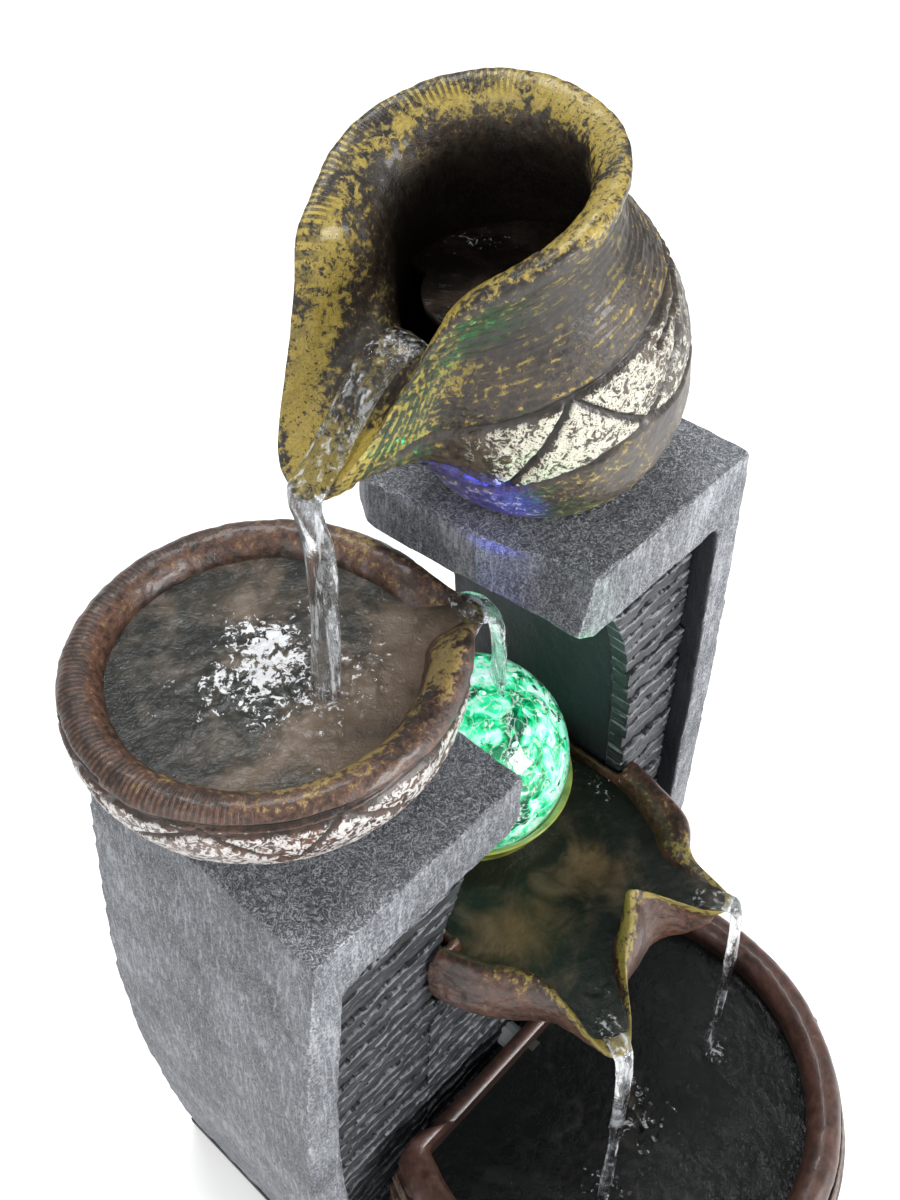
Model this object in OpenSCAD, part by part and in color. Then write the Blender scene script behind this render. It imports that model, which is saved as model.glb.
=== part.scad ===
// Tabletop water fountain: a jug on a tall pillar pours into a bowl on a low pillar, the bowl
// pours over a lit crystal ball, and the ball's pool pours into a basin that holds the pump.
// Origin: centre of the base on the table. +Z up, -Y towards the viewer of the front.

/* [Base] */
// Width of the plinth
base_w = 122; // [110:1:150]
// Depth of the plinth
base_d = 103; // [96:1:125]
// How far the plinth's middle lies to the right of the origin
base_shift_x = 5; // [0:0.5:8]
// How far the plinth's middle lies in front of the origin
base_shift_y = 3.5; // [0:0.5:6]
// Thickness of the soft pad under the base
pad_t = 1.2; // [0.8:0.1:2]
// Thickness of the plate that closes the base
plate_t = 2.3; // [1.8:0.1:3.5]
// Height of the plinth above the plate
plinth_h = 11; // [10:0.5:16]
// Wall of the cast resin pieces
wall = 3; // [2:0.1:4]

/* [Pillars] */
// Height of the low pillar's top above the table
low_top = 145; // [120:1:160]
// Height of the tall pillar's top above the table
tall_top = 180; // [150:1:216]
// Thickness of each pillar's top slab
slab_t = 14; // [12:0.5:18]
// Where the pillars' front faces stand
front_y = -9; // [-12:0.5:-6]
// Depth of the low pillar
low_depth = 57; // [48:1:66]
// Depth of the tall pillar
tall_depth = 50; // [44:1:60]
// How far the slate lies behind the front faces
recess = 5; // [3:0.5:7]
// Thickness of the slate panels behind their face
slate_t = 3; // [2:0.5:4]
// Mean height of one course of slate
course_h = 4.2; // [3:0.2:7]
// Width of the post beside each slate panel
post_w = 8; // [6:0.5:10]

/* [Vessels] */
// Radius of the jug's body
jug_r = 23.2; // [18:0.2:25]
// Tilt of the jug towards the bowl
jug_tilt = 22; // [15:1:28]
// Distance from the upper bowl's middle to its rim's outer edge
bowl_r = 33.4; // [28:0.1:36]
// Height of the upper bowl
bowl_h = 21; // [16:0.5:22]
// Half width of the lower bowl
pool_r = 32; // [28:0.5:33]
// Height of the lower bowl's rim above its foot
pool_h = 23.3; // [20:0.1:28]
// Radius of the basin's rim
basin_r = 49.3; // [45:0.1:52]
// Height of the basin's rim above the table
basin_h = 50.6; // [47:0.1:60]
// Radius of the basin's rolled rim
roll_r = 3.8; // [2.5:0.1:5]

/* [Ball and light] */
// Radius of the crystal ball
ball_r = 20; // [16:0.5:20]
// Gap between the ball and its cup
ball_gap = 0.4; // [0.3:0.1:1]
// Radius of the light's housing
led_r = 9; // [7:0.5:10]

/* [Water circuit] */
// Outer radius of the riser hose
hose_r = 3; // [2.6:0.1:3.2]
// Bore radius of the riser hose
hose_bore = 2; // [1.5:0.1:2.1]
// Width of the pump
pump_w = 30; // [26:1:36]
// Length of the pump from front to back
pump_l = 27; // [25:1:30]
// Height of the pump
pump_h = 22; // [20:1:23]
// Radius of the pump's shaft
shaft_r = 0.75; // [0.6:0.05:1]
// Running clearance on the shaft
shaft_gap = 0.05; // [0.02:0.01:0.1]
// Radius of the mains lead's hole in the gland
lead_r = 2.1; // [1.8:0.1:2.6]

/* [Hidden] */
$fn = 64;

// Colours
stone = "#7b8187";
slate = "#3f444a";
bronze = "#6b4a35";
gilt = "#8a743c";

// Heights and outline of the base
floor_z = pad_t + plate_t;
deck_z = floor_z + plinth_h;
base_x0 = base_shift_x - base_w / 2;
base_x1 = base_shift_x + base_w / 2;
base_y0 = -base_shift_y - base_d / 2;
base_y1 = -base_shift_y + base_d / 2;
seam = 0.15;
eps = 0.01;
over = 5;

// Pillars: the outer faces bow outwards, and the inner faces curve out under the slabs
low_back = front_y + low_depth;
tall_back = front_y + tall_depth;
core_y = front_y + recess + slate_t;
low_under = low_top - slab_t;
tall_under = tall_top - slab_t;
low_foot_x = base_x0 + 0.5;
low_top_x = base_x0 + 4;
low_end_x = base_x0 + 52.5;
low_leg_x = base_x0 + 30.5;
low_belly = 6;
low_flare = 15;
low_fade = 26;
tall_foot_x = base_x1 - 10;
tall_top_x = base_x1 - 12;
tall_end_x = base_x1 - 55;
tall_leg_x = base_x1 - 31.5;
tall_belly = 3.5;
tall_flare = 17;
tall_fade = 17;
profile_steps = 12;
slab_nose = 2.5;

function blend(a, b, t) = a + (b - a) * t;
function low_out(z) =
    let (t = (z - floor_z) / (low_top - floor_z))
    blend(low_foot_x, low_top_x, t) - low_belly * sin(180 * t);
function low_in(z) = low_leg_x + low_flare * exp((z - low_under) / low_fade);
function tall_out(z) =
    let (t = (z - deck_z) / (tall_top - deck_z))
    blend(tall_foot_x, tall_top_x, t) + tall_belly * sin(180 * t);
function tall_in(z) = tall_leg_x - tall_flare * exp((z - tall_under) / tall_fade);
function climb(z0, z1) = [for (i = [0:profile_steps]) blend(z0, z1, i / profile_steps)];
// Closed outline between two curves, from z0 to z1
function between(f, g, z0, z1) =
    let (zs = climb(z0, z1), n = len(zs) - 1)
    concat([for (z = zs) [f(z), z]], [for (i = [n:-1:0]) [g(zs[i]), zs[i]]]);

// Vessels: where each one stands
jug_x = 23.9;
jug_y = 14.6;
jug_z = tall_top + jug_r - 2.2;
bowl_x = -25.7;
bowl_y = 29.3;
bowl_wall = 8.3;
bowl_foot = 18.5;
pool_x = 6.5;
pool_y = 0;
pool_z = 84;
pool_back = tall_back - 3;
pool_left = low_in(pool_z + pool_h) + 0.8;
pool_right = tall_in(pool_z + pool_h) - 0.3;
pool_floor = 3;
side_t = 1.5;
basin_x = 4.7;
basin_y = -31.3;
basin_belly = 3;
basin_wall = 7;
basin_floor = 3;
basin_cut = front_y - 0.5;
vessel_sides = 48;

// Ball, cup and light
ball_x = 11.4;
ball_y = 16.9;
cup_z = pool_z + pool_floor;
cup_h = 22;
cup_wall = 1;
lens_t = 1.8;
ball_z = cup_z + 7 + ball_r;
board_t = 1;
tray_t = 0.8;

// Pump, set at the back of the basin
pump_x = 1;
pump_z = floor_z + basin_floor + 2.5;
pump_y1 = basin_cut - basin_floor - 3.5;
pump_y0 = pump_y1 - pump_l;
axis_z = pump_z + 10.5;
chamber_r = 8.5;
chamber_l = 7;
rotor_r = 5;
cover_t = 2;
dial_r = 6.5;
dial_t = 1.6;
pin_r = 1.6;

// Riser: out of the pump, back through the centre wall, up the tall pillar, into the jug
outlet_y = pump_y0 + 5;
tight_r = 5;
wide_r = 7;
hose_start = pump_z + pump_h + 0.4;
run_z = hose_start + 1 + tight_r;
riser_x = tall_leg_x + 10.5;
nozzle_x = 27;
loft_z = tall_top - 7.2;
duct_r = hose_r + 0.6;
spigot_r = hose_bore - 0.12;

// Fasteners
screw_r = 1.3;
head_r = 2.6;
head_t = 1.2;
screw_l = 9;
base_holes = [[-48, -46], [58, -47], [58, 40], [-17, 40], [36, 41]];
hatch_w = 13;
hatch_h = 70;
hatch_z = 40;
hatch_t = 2;
hatch_x = riser_x + 1;

// Mains lead's gland, in the back of the plinth
gland_x = 16;
gland_z = floor_z + 5.5;
gland_l = 12;

// ---- shared shapes ----

// Stands a child outline, drawn in x and z, up between two values of y
module stand(y0, y1) translate([0, y1, 0]) rotate([90, 0, 0]) linear_extrude(y1 - y0) children();

module block(lo, hi) translate(lo) cube(hi - lo);

// 1 at angle 0, a half at angle half, and the steeper the higher the power
function swell(a, half, power) = 1 / (1 + pow(abs(a - 360 * round(a / 360)) / half, power));

// One point of a vessel: its plain outline, drawn out towards each lip, and raised at each bump
function vessel_point(plain, lips, bumps, rim, bend, i, a) =
    let (
        g = [for (l = lips) swell(a - l[0], l[1], 3)],
        b = [for (m = bumps) swell(a - m[0], m[1], 2) * exp(-pow((i - rim) / 2.2, 2))],
        dr = [for (k = [0:1:len(lips) - 1]) g[k] * (lips[k][2][i][0] - plain[i][0])],
        dz = [for (k = [0:1:len(lips) - 1]) pow(g[k], bend) * (lips[k][2][i][1] - plain[i][1])],
        r = plain[i][0] + sum(dr) + sum([for (k = [0:1:len(bumps) - 1]) b[k] * bumps[k][2]]),
        z = plain[i][1] + sum(dz) + sum([for (k = [0:1:len(bumps) - 1]) b[k] * bumps[k][3]])
    ) [r * cos(a), r * sin(a), z];
function sum(v, i = 0) = i >= len(v) ? 0 : v[i] + sum(v, i + 1);

// A closed shell of rings from the foot, over the rim, to the inside of the floor
module vessel(plain, lips, bumps = [], rim = 6, bend = 1) {
    n = vessel_sides;
    last = len(plain) - 1;
    rings = [for (i = [1:last - 1]) for (k = [0:n - 1])
        vessel_point(plain, lips, bumps, rim, bend, i, k * 360 / n)];
    points = concat([[0, 0, plain[0][1]]], rings, [[0, 0, plain[last][1]]]);
    top = len(points) - 1;
    base_fan = [for (k = [0:n - 1]) [0, 1 + k, 1 + (k + 1) % n]];
    sides = [for (i = [0:last - 3]) for (k = [0:n - 1])
        let (a = 1 + i * n + k, b = 1 + i * n + (k + 1) % n) each [[a, a + n, b + n], [a, b + n, b]]];
    top_fan = [for (k = [0:n - 1]) [top, 1 + (last - 2) * n + (k + 1) % n, 1 + (last - 2) * n + k]];
    polyhedron(points, concat(base_fan, sides, top_fan));
}

// Courses of split slate between two curves; each course stands out by its own amount
module slate_courses(f, g, z0, z1) {
    rows = round((z1 - z0) / course_h);
    for (i = [0:rows - 1]) {
        a = blend(z0, z1, i / rows);
        b = blend(z0, z1, (i + 1) / rows);
        proud = 0.5 + 0.5 * sin(i * 137);
        stand(core_y - slate_t - proud * 1.2, core_y)
            polygon([[f(a), a], [g(a), a], [g(b), b], [f(b), b]]);
    }
}

module base_outline(inset) {
    translate([base_x0 + inset, base_y0 + inset]) square([base_w - 2 * inset, base_d - 2 * inset]);
    translate([basin_x, basin_y]) circle(r = basin_r - 6 - inset);
}

module screw(l) {
    cylinder(r = head_r, h = head_t);
    cylinder(r = screw_r, h = l);
}

module rod(r, a, b) {
    d = b - a;
    translate(a) rotate([0, acos(d[2] / norm(d)), atan2(d[1], d[0])]) cylinder(r = r, h = norm(d));
}

// A tube of radius r swept along a path, with rings that don't twist
function unit(v) = v / norm(v);
function heading(path, i) = unit(path[min(i + 1, len(path) - 1)] - path[max(i - 1, 0)]);
function carried(side, t) = unit(side - t * (side * t));
function sides_along(path, i, side) =
    i >= len(path) ? [] : let (u = carried(side, heading(path, i))) concat([u], sides_along(path, i + 1, u));
module tube(path, r, n) {
    us = sides_along(path, 0, carried([0.31, 0.52, 0.79], heading(path, 0)));
    last = len(path) - 1;
    points = [for (i = [0:last]) for (k = [0:n - 1])
        let (v = cross(heading(path, i), us[i])) path[i] + r * (us[i] * cos(k * 360 / n) + v * sin(k * 360 / n))];
    skin = [for (i = [0:last - 1]) for (k = [0:n - 1])
        let (a = i * n + k, b = i * n + (k + 1) % n) each [[a, a + n, b + n], [a, b + n, b]]];
    polyhedron(points, concat(skin, [[for (k = [0:n - 1]) k]], [[for (k = [n - 1:-1:0]) last * n + k]]));
}

// Points round a corner, from one direction to the next
function bend(corner, from, to, r) =
    [for (i = [0:6]) corner + r * ((sin(15 * i) - 1) * from + (1 - cos(15 * i)) * to)];

// ---- base ----

module base_pad() color("#2b2b2b") linear_extrude(pad_t) base_outline(1.2);

module base_plate() color("#3a3d40") translate([0, 0, pad_t]) difference() {
    linear_extrude(plate_t) base_outline(0.6);
    for (p = base_holes) translate([p[0], p[1], -eps]) {
        cylinder(r = screw_r + 0.1, h = plate_t + 2 * eps);
        cylinder(r = head_r + 0.2, h = head_t + 2 * eps);
    }
}

module base_screws() color("silver")
    for (p = base_holes) translate([p[0], p[1], pad_t]) screw(screw_l);

module base_plinth() color(stone) difference() {
    block([base_x0, base_y0, floor_z], [base_x1, base_y1, deck_z]);
    // The low pillar stands beside the plinth, on the plate
    block([base_x0 - over, front_y - 0.3, floor_z - over], [low_in(deck_z) + seam, base_y1 + over, deck_z + over]);
    // The basin stands in front
    intersection() {
        translate([basin_x, basin_y, floor_z - over]) cylinder(r = basin_r + basin_belly + 0.4, h = plinth_h + 2 * over);
        block([base_x0, base_y0 - over, floor_z - over], [base_x1, basin_cut + 0.3, deck_z + over]);
    }
    // Wiring space, open to the centre wall above
    block([-14, core_y + wall, floor_z - eps], [30, base_y1 - wall, deck_z - wall]);
    block([-14, core_y + wall, floor_z], [30, pool_back - wall - 3, deck_z + over]);
    for (p = base_holes) translate([p[0], p[1], floor_z - eps]) cylinder(r = screw_r + 0.05, h = screw_l);
    translate([gland_x, base_y1 + over, gland_z]) rotate([90, 0, 0]) cylinder(r = 4.1, h = wall + 2 * over);
}

// ---- pillars ----

module left_pillar() color(stone) difference() {
    union() {
        stand(core_y, low_back) polygon(between(function (z) low_out(z), function (z) low_in(z), floor_z, low_under));
        stand(front_y, low_back)
            polygon(between(function (z) low_out(z), function (z) low_out(z) + post_w, floor_z, low_under));
        stand(front_y, low_back) polygon([
            [low_out(low_under), low_under], [low_end_x - slab_nose, low_under], [low_end_x, low_under + slab_nose],
            [low_end_x, low_top], [low_out(low_top), low_top]]);
    }
    stand(core_y + wall, low_back - wall) polygon(between(
        function (z) low_out(z) + wall, function (z) low_in(z) - wall, floor_z - eps, low_under - wall));
}

module left_slate() color(slate)
    slate_courses(function (z) low_out(z) + post_w + seam, function (z) low_in(z), floor_z, low_under - seam);

module right_pillar() color(stone) difference() {
    union() {
        stand(core_y, tall_back)
            polygon(between(function (z) tall_in(z), function (z) tall_out(z), deck_z, tall_under));
        stand(front_y, tall_back)
            polygon(between(function (z) tall_out(z) - post_w, function (z) tall_out(z), deck_z, tall_under));
        // The slab: its free end widens towards the back and leans out downwards
        intersection() {
            translate([0, 0, tall_under - eps]) linear_extrude(slab_t + 2 * eps) polygon([
                [tall_end_x, front_y], [tall_end_x - 5, front_y + 20], [tall_end_x - 7, tall_back - 6],
                [tall_end_x - 3, tall_back], [base_x1, tall_back], [base_x1, front_y]]);
            stand(front_y, tall_back) polygon([
                [tall_out(tall_under), tall_under], [tall_end_x + 1, tall_under], [tall_end_x - 7, tall_under + slab_nose],
                [tall_end_x - 7, tall_top], [tall_out(tall_top), tall_top]]);
        }
        stand(front_y, front_y + 6) polygon([[tall_end_x + 1, tall_under], [tall_end_x - 3.5, tall_under + slab_nose],
            [tall_end_x, tall_top], [tall_end_x + 5, tall_top], [tall_end_x + 5, tall_under]]);
    }
    stand(core_y + wall, tall_back - wall) polygon(between(
        function (z) tall_in(z) + wall, function (z) tall_out(z) - wall, deck_z - eps, tall_under - wall));
    // Room for the riser: from the leg into the slab, and out of its top
    block([nozzle_x - 5, jug_y - 5, loft_z - hose_r - 0.6], [riser_x + 5, jug_y + 5, loft_z + hose_r + 0.6]);
    block([riser_x - 5, jug_y - 5, tall_under - wall - 1], [riser_x + 5, jug_y + 5, loft_z]);
    translate([nozzle_x, jug_y, loft_z]) cylinder(r = hose_r + 0.3, h = tall_top);
    rod(duct_r, [tall_leg_x - over, jug_y, run_z], [riser_x, jug_y, run_z]);
    // Opening behind the hatch
    block([hatch_x - hatch_w / 2, tall_back - wall - over, hatch_z + 8],
        [hatch_x + hatch_w / 2, tall_back + over, hatch_z + hatch_h - 8]);
    for (z = [hatch_z + 4, hatch_z + hatch_h - 4]) translate([hatch_x, tall_back + over, z])
        rotate([90, 0, 0]) cylinder(r = screw_r + 0.05, h = screw_l + over);
}

module right_slate() color(slate)
    slate_courses(function (z) tall_in(z), function (z) tall_out(z) - post_w - seam, deck_z, tall_under - seam);

function wall_left(z) = low_in(z) + seam;
function wall_right(z) = tall_in(z) - seam;

module centre_wall() color(stone) difference() {
    stand(core_y, pool_back)
        polygon(between(function (z) wall_left(z), function (z) wall_right(z), deck_z, pool_z));
    stand(core_y + wall, pool_back - wall) polygon(between(
        function (z) wall_left(z) + wall, function (z) wall_right(z) - wall, deck_z - eps, pool_z - wall));
    rod(duct_r, [riser_x - over, jug_y, run_z], [riser_x - 20, jug_y, run_z]);
    rod(duct_r, [pump_x, front_y, run_z], [pump_x, core_y + wall + 1, run_z]);
    rod(2, [cable_x, front_y, axis_z], [cable_x, core_y + wall + 1, axis_z]);
    translate([ball_x, ball_y, pool_z - wall - 1]) cylinder(r = 2, h = wall + 2);
}

module centre_slate() color(slate) difference() {
    slate_courses(function (z) wall_left(z), function (z) wall_right(z), deck_z, pool_z - 1);
    rod(duct_r, [pump_x, front_y, run_z], [pump_x, core_y + wall, run_z]);
    rod(2, [cable_x, front_y, axis_z], [cable_x, core_y + wall, axis_z]);
}

module rear_hatch() color(stone) difference() {
    block([hatch_x - hatch_w / 2 - 1, tall_back, hatch_z], [hatch_x + hatch_w / 2 + 1, tall_back + hatch_t, hatch_z + hatch_h]);
    for (z = [hatch_z + 4, hatch_z + hatch_h - 4]) translate([hatch_x, tall_back + over, z])
        rotate([90, 0, 0]) cylinder(r = screw_r + 0.1, h = 2 * over);
}

module hatch_screws() color("silver") for (z = [hatch_z + 4, hatch_z + hatch_h - 4])
    translate([hatch_x, tall_back + hatch_t + head_t, z]) rotate([90, 0, 0]) screw(screw_l);

// ---- vessels ----

// Outlines run from the foot, up the outside, over the rim and down the inside: [radius, height]
jug_k = jug_r / 23.2;
jug_plain = jug_k * [[0, -23.2], [11, -20.6], [17.6, -15], [21.9, -7.5], [23.3, 0], [23.7, 8], [22.6, 16],
    [20, 24], [17.8, 30], [17.8, 36], [19.4, 40.6], [19.2, 43.2], [17.4, 44.2], [15, 42.6], [13.6, 39],
    [13.2, 34], [14, 28], [17, 18], [19.4, 6], [19.4, -3], [16, -12], [9, -16], [0, -17]];
jug_lip = jug_k * [[0, -23.2], [11, -20.6], [17.6, -15], [21.9, -7.5], [23.3, -1], [24.5, 4], [27, 7.5],
    [30.5, 10], [34, 12], [37.5, 13.6], [40.5, 15.3], [41.5, 17], [40.6, 18.6], [38, 19.6], [34, 21.3],
    [28.5, 24], [21, 26.6], [16.5, 22], [18.8, 6], [19.4, -3], [16, -12], [9, -16], [0, -17]];

module pouring_jug() color(gilt) difference() {
    translate([jug_x, jug_y, jug_z]) rotate([0, -jug_tilt, 0]) rotate([0, 0, 180])
        vessel(jug_plain, [[-9, 16, jug_lip]], [[160, 60, 0, -4.5], [-36, 14, 1.5, 5], [14, 12, 0, -2.5], [-72, 44, 3, 0]], 12, 0.75);
    block([jug_x - 2 * jug_r, jug_y - 2 * jug_r, tall_top - 3 * over], [jug_x + 2 * jug_r, jug_y + 2 * jug_r, tall_top]);
    translate([nozzle_x, jug_y, tall_top - over]) cylinder(r = 3.3, h = 4 * over);
}

bowl_plain = [[0, 0], [bowl_foot, 0], [bowl_r - 4.5, 0.19 * bowl_h], [bowl_r - 0.8, 0.45 * bowl_h],
    [bowl_r, 0.71 * bowl_h], [bowl_r - 0.5, 0.9 * bowl_h], [bowl_r - 2.8, bowl_h],
    [bowl_r - 5.8, 0.98 * bowl_h], [bowl_r - bowl_wall + 0.5, 0.86 * bowl_h], [bowl_r - bowl_wall - 0.5, 0.67 * bowl_h],
    [bowl_r - 12, 0.38 * bowl_h], [14, 4.5], [0, 3.5]];
bowl_lip = [[0, 0], [bowl_foot, 0], [bowl_r - 3.8, 0.17 * bowl_h], [bowl_r + 0.4, 0.38 * bowl_h],
    [bowl_r + 2.2, 0.55 * bowl_h], [bowl_r + 4.2, 0.67 * bowl_h], [bowl_r + 3.7, 0.75 * bowl_h],
    [bowl_r + 1.2, 0.77 * bowl_h], [bowl_r - 3.3, 0.74 * bowl_h], [bowl_r - 7.8, 0.62 * bowl_h],
    [bowl_r - 12, 0.38 * bowl_h], [14, 4.5], [0, 3.5]];

module upper_bowl() color(bronze) translate([bowl_x, bowl_y, low_top])
    vessel(bowl_plain, [[-27, 9, bowl_lip]], [[-46, 12, 1.5, 2.2]]);

pool_plain = [[0, 0], [pool_r - 12, 0], [pool_r - 4.5, 0.13 * pool_h], [pool_r - 0.7, 0.38 * pool_h],
    [pool_r, 0.64 * pool_h], [pool_r - 0.3, 0.88 * pool_h], [pool_r - 2.5, pool_h],
    [pool_r - 5.2, 0.965 * pool_h], [pool_r - 6.4, 0.82 * pool_h], [pool_r - 7.5, 0.52 * pool_h],
    [pool_r - 12, 0.26 * pool_h], [pool_r - 21, pool_floor + 0.5], [0, pool_floor]];
function pool_lip(reach) = [[0, 0], [pool_r - 12, 0], [pool_r - 3, 0.11 * pool_h],
    [pool_r + 3, 0.28 * pool_h], [pool_r + 8, 0.45 * pool_h], [reach - 2, 0.6 * pool_h],
    [reach, 0.71 * pool_h], [reach - 1.2, 0.77 * pool_h], [reach - 6, 0.755 * pool_h],
    [pool_r + 3, 0.71 * pool_h], [pool_r - 5, 0.56 * pool_h], [pool_r - 21, pool_floor + 0.5],
    [0, pool_floor]];
pool_lips = [[-115, 9, pool_lip(pool_r + 13.5)], [-65, 8, pool_lip(pool_r + 11.5)]];
pool_bumps = [[-80, 9, -6.5, 3.5], [-40, 13, 4, 0]];
pool_outside = concat([for (i = [0:6]) pool_plain[i]], [[0, pool_h]]);

module lower_bowl() color(bronze) difference() {
    union() {
        // The front of the bowl, with its two pouring lips
        intersection() {
            translate([pool_x, pool_y, pool_z]) vessel(pool_plain, pool_lips, pool_bumps);
            block([-60, -60, pool_z - over], [60, front_y + recess - 1.6, pool_z + 2 * pool_h]);
        }
        // End walls against the slate
        intersection() {
            translate([pool_x, pool_y, pool_z]) vessel(pool_outside, []);
            block([-60, front_y + recess - 3.4, pool_z], [60, front_y + recess - 1.6, pool_z + 2 * pool_h]);
        }
        // The pool behind, between the pillars
        block([pool_left, front_y + recess - 3.4, pool_z], [pool_right, pool_back, pool_z + pool_h - 2]);
    }
    block([pool_left + side_t, front_y + recess - 6, cup_z], [pool_right - side_t, pool_back - side_t, pool_z + 2 * pool_h]);
    translate([ball_x, ball_y, pool_z - eps]) cylinder(r = 2, h = pool_floor + 2 * eps);
}

module basin_round() {
    r = basin_r;
    rotate_extrude() polygon([[0, floor_z], [r - 9, floor_z], [r - 1.5, 0.24 * basin_h], [r + basin_belly - 0.4, 0.5 * basin_h],
        [r + basin_belly, 0.68 * basin_h], [r + 1, 0.87 * basin_h], [r - roll_r, basin_h - roll_r],
        [0, basin_h - roll_r]]);
    translate([0, 0, basin_h - roll_r]) rotate_extrude() translate([r - roll_r, 0]) circle(r = roll_r);
}

module basin_hollow() {
    r = basin_r - basin_wall;
    rotate_extrude() polygon([[0, floor_z + basin_floor], [r - 10, floor_z + basin_floor],
        [r - 2, 0.26 * basin_h], [r + 0.8, 0.5 * basin_h], [r + 0.8, 0.75 * basin_h],
        [r - 0.3, basin_h - roll_r], [r - 0.3, basin_h + over], [0, basin_h + over]]);
}

module catch_basin() color(bronze) difference() {
    translate([basin_x, basin_y, 0]) basin_round();
    block([-70, basin_cut, 0], [80, 60, basin_h + over]);
    intersection() {
        translate([basin_x, basin_y, 0]) basin_hollow();
        block([-70, -90, 0], [80, basin_cut - basin_floor, basin_h + 2 * over]);
    }
    // The back wall is lower than the rolled rim
    block([basin_x - basin_r + basin_wall, basin_cut - basin_floor - eps, basin_h - roll_r],
        [basin_x + basin_r - basin_wall, basin_cut + eps, basin_h + over]);
    rod(hose_r + 1.2, [pump_x, basin_cut - over, run_z], [pump_x, basin_cut + over, run_z]);
    rod(1.55, [cable_x, basin_cut - over, axis_z], [cable_x, basin_cut + over, axis_z]);
}

// ---- ball, cup and light ----

module crystal_ball() color([0.7, 0.95, 0.9, 0.6]) translate([ball_x, ball_y, ball_z]) sphere(r = ball_r);

module ball_cup() color("#6f7a3a") difference() {
    translate([ball_x, ball_y, cup_z])
        cylinder(r1 = led_r + 3, r2 = ball_r + ball_gap + cup_wall - 0.7, h = cup_h);
    translate([ball_x, ball_y, ball_z]) sphere(r = ball_r + ball_gap);
    translate([ball_x, ball_y, cup_z - eps]) cylinder(r = led_r + 0.1, h = 8);
}

module led_housing() color("#d8d8d8") translate([ball_x, ball_y, cup_z]) difference() {
    cylinder(r = led_r, h = 4.4);
    translate([0, 0, tray_t]) cylinder(r = led_r - 1.2, h = 5);
    translate([0, 0, -eps]) cylinder(r = 1.1, h = 2);
}

module led_board() color("#2f6b3c") translate([ball_x, ball_y, cup_z + tray_t + 0.6]) {
    cylinder(r = led_r - 1.4, h = board_t);
    for (a = [0:90:270]) rotate([0, 0, a]) translate([3.2, -1.25, board_t]) cube([2.5, 2.5, 1]);
}

module led_lens() color([0.9, 1, 0.95, 0.5]) translate([ball_x, ball_y, cup_z + 4.5])
    cylinder(r = led_r - 0.2, h = lens_t);

led_route = concat([[ball_x, ball_y, cup_z + tray_t]],
    bend([ball_x, ball_y, pool_z - wall - 8], [0, 0, -1], [0, 1, 0], 4),
    bend([ball_x, ball_y + 10, pool_z - wall - 8], [0, 1, 0], [0, 0, -1], 4),
    bend([ball_x, ball_y + 10, floor_z + 5], [0, 0, -1], [0, 1, 0], 4), [[ball_x, base_y1 - 10, floor_z + 5]]);
module led_cable() color("#222222") tube(led_route, 0.9, 8);

// ---- pump and water circuit ----

module pump_body() color("#202326") difference() {
    union() {
        block([pump_x - pump_w / 2, pump_y0, pump_z], [pump_x + pump_w / 2, pump_y1, pump_z + pump_h]);
        translate([pump_x, outlet_y, pump_z + pump_h]) cylinder(r = spigot_r, h = 2.4);
    }
    rod(chamber_r, [pump_x, pump_y0 - eps, axis_z], [pump_x, pump_y0 + chamber_l, axis_z]);
    rod(rotor_r + 0.5, [pump_x, pump_y0, axis_z], [pump_x, pump_y1 - 5, axis_z]);
    rod(shaft_r + 0.01, [pump_x, pump_y0, axis_z], [pump_x, pump_y1 - 2, axis_z]);
    translate([pump_x, outlet_y, axis_z]) cylinder(r = spigot_r - 0.6, h = pump_h);
    rod(1.15, [cable_x, pump_y1 - 3, axis_z], [cable_x, pump_y1 + over, axis_z]);
}

module pump_cover() color("#2b2f33") difference() {
    union() {
        block([pump_x - pump_w / 2, pump_y0 - cover_t, pump_z], [pump_x + pump_w / 2, pump_y0, pump_z + pump_h]);
        rod(pin_r, [pump_x, pump_y0 - cover_t - dial_t - 0.6, axis_z], [pump_x, pump_y0 - cover_t, axis_z]);
    }
    for (a = [0:60:300]) translate([pump_x, pump_y0, axis_z]) rotate([0, a, 0])
        translate([3, -cover_t - eps, -0.8]) cube([3, cover_t + 2 * eps, 1.6]);
    for (i = [-2:2]) translate([pump_x + i * 4.5 - 1, pump_y0 - cover_t - eps, pump_z + pump_h - 3.6])
        cube([2, cover_t + 2 * eps, 1.8]);
    rod(shaft_r + 0.01, [pump_x, pump_y0 - 1, axis_z], [pump_x, pump_y0 + eps, axis_z]);
}

module impeller() color("#e8e8e8") difference() {
    union() {
        rod(rotor_r, [pump_x, pump_y0 + chamber_l + 0.4, axis_z], [pump_x, pump_y1 - 6, axis_z]);
        rod(2.2, [pump_x, pump_y0 + 0.8, axis_z], [pump_x, pump_y0 + chamber_l + 1, axis_z]);
        for (a = [0:60:300]) translate([pump_x, pump_y0 + 1.2, axis_z]) rotate([0, a, 0])
            translate([1.5, 0, -0.5]) cube([chamber_r - 2.6, chamber_l - 2, 1]);
    }
    rod(shaft_r + shaft_gap, [pump_x, pump_y0 - eps, axis_z], [pump_x, pump_y1, axis_z]);
}

module impeller_shaft() color("white") rod(shaft_r, [pump_x, pump_y0 - 0.9, axis_z], [pump_x, pump_y1 - 2.2, axis_z]);

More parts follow.
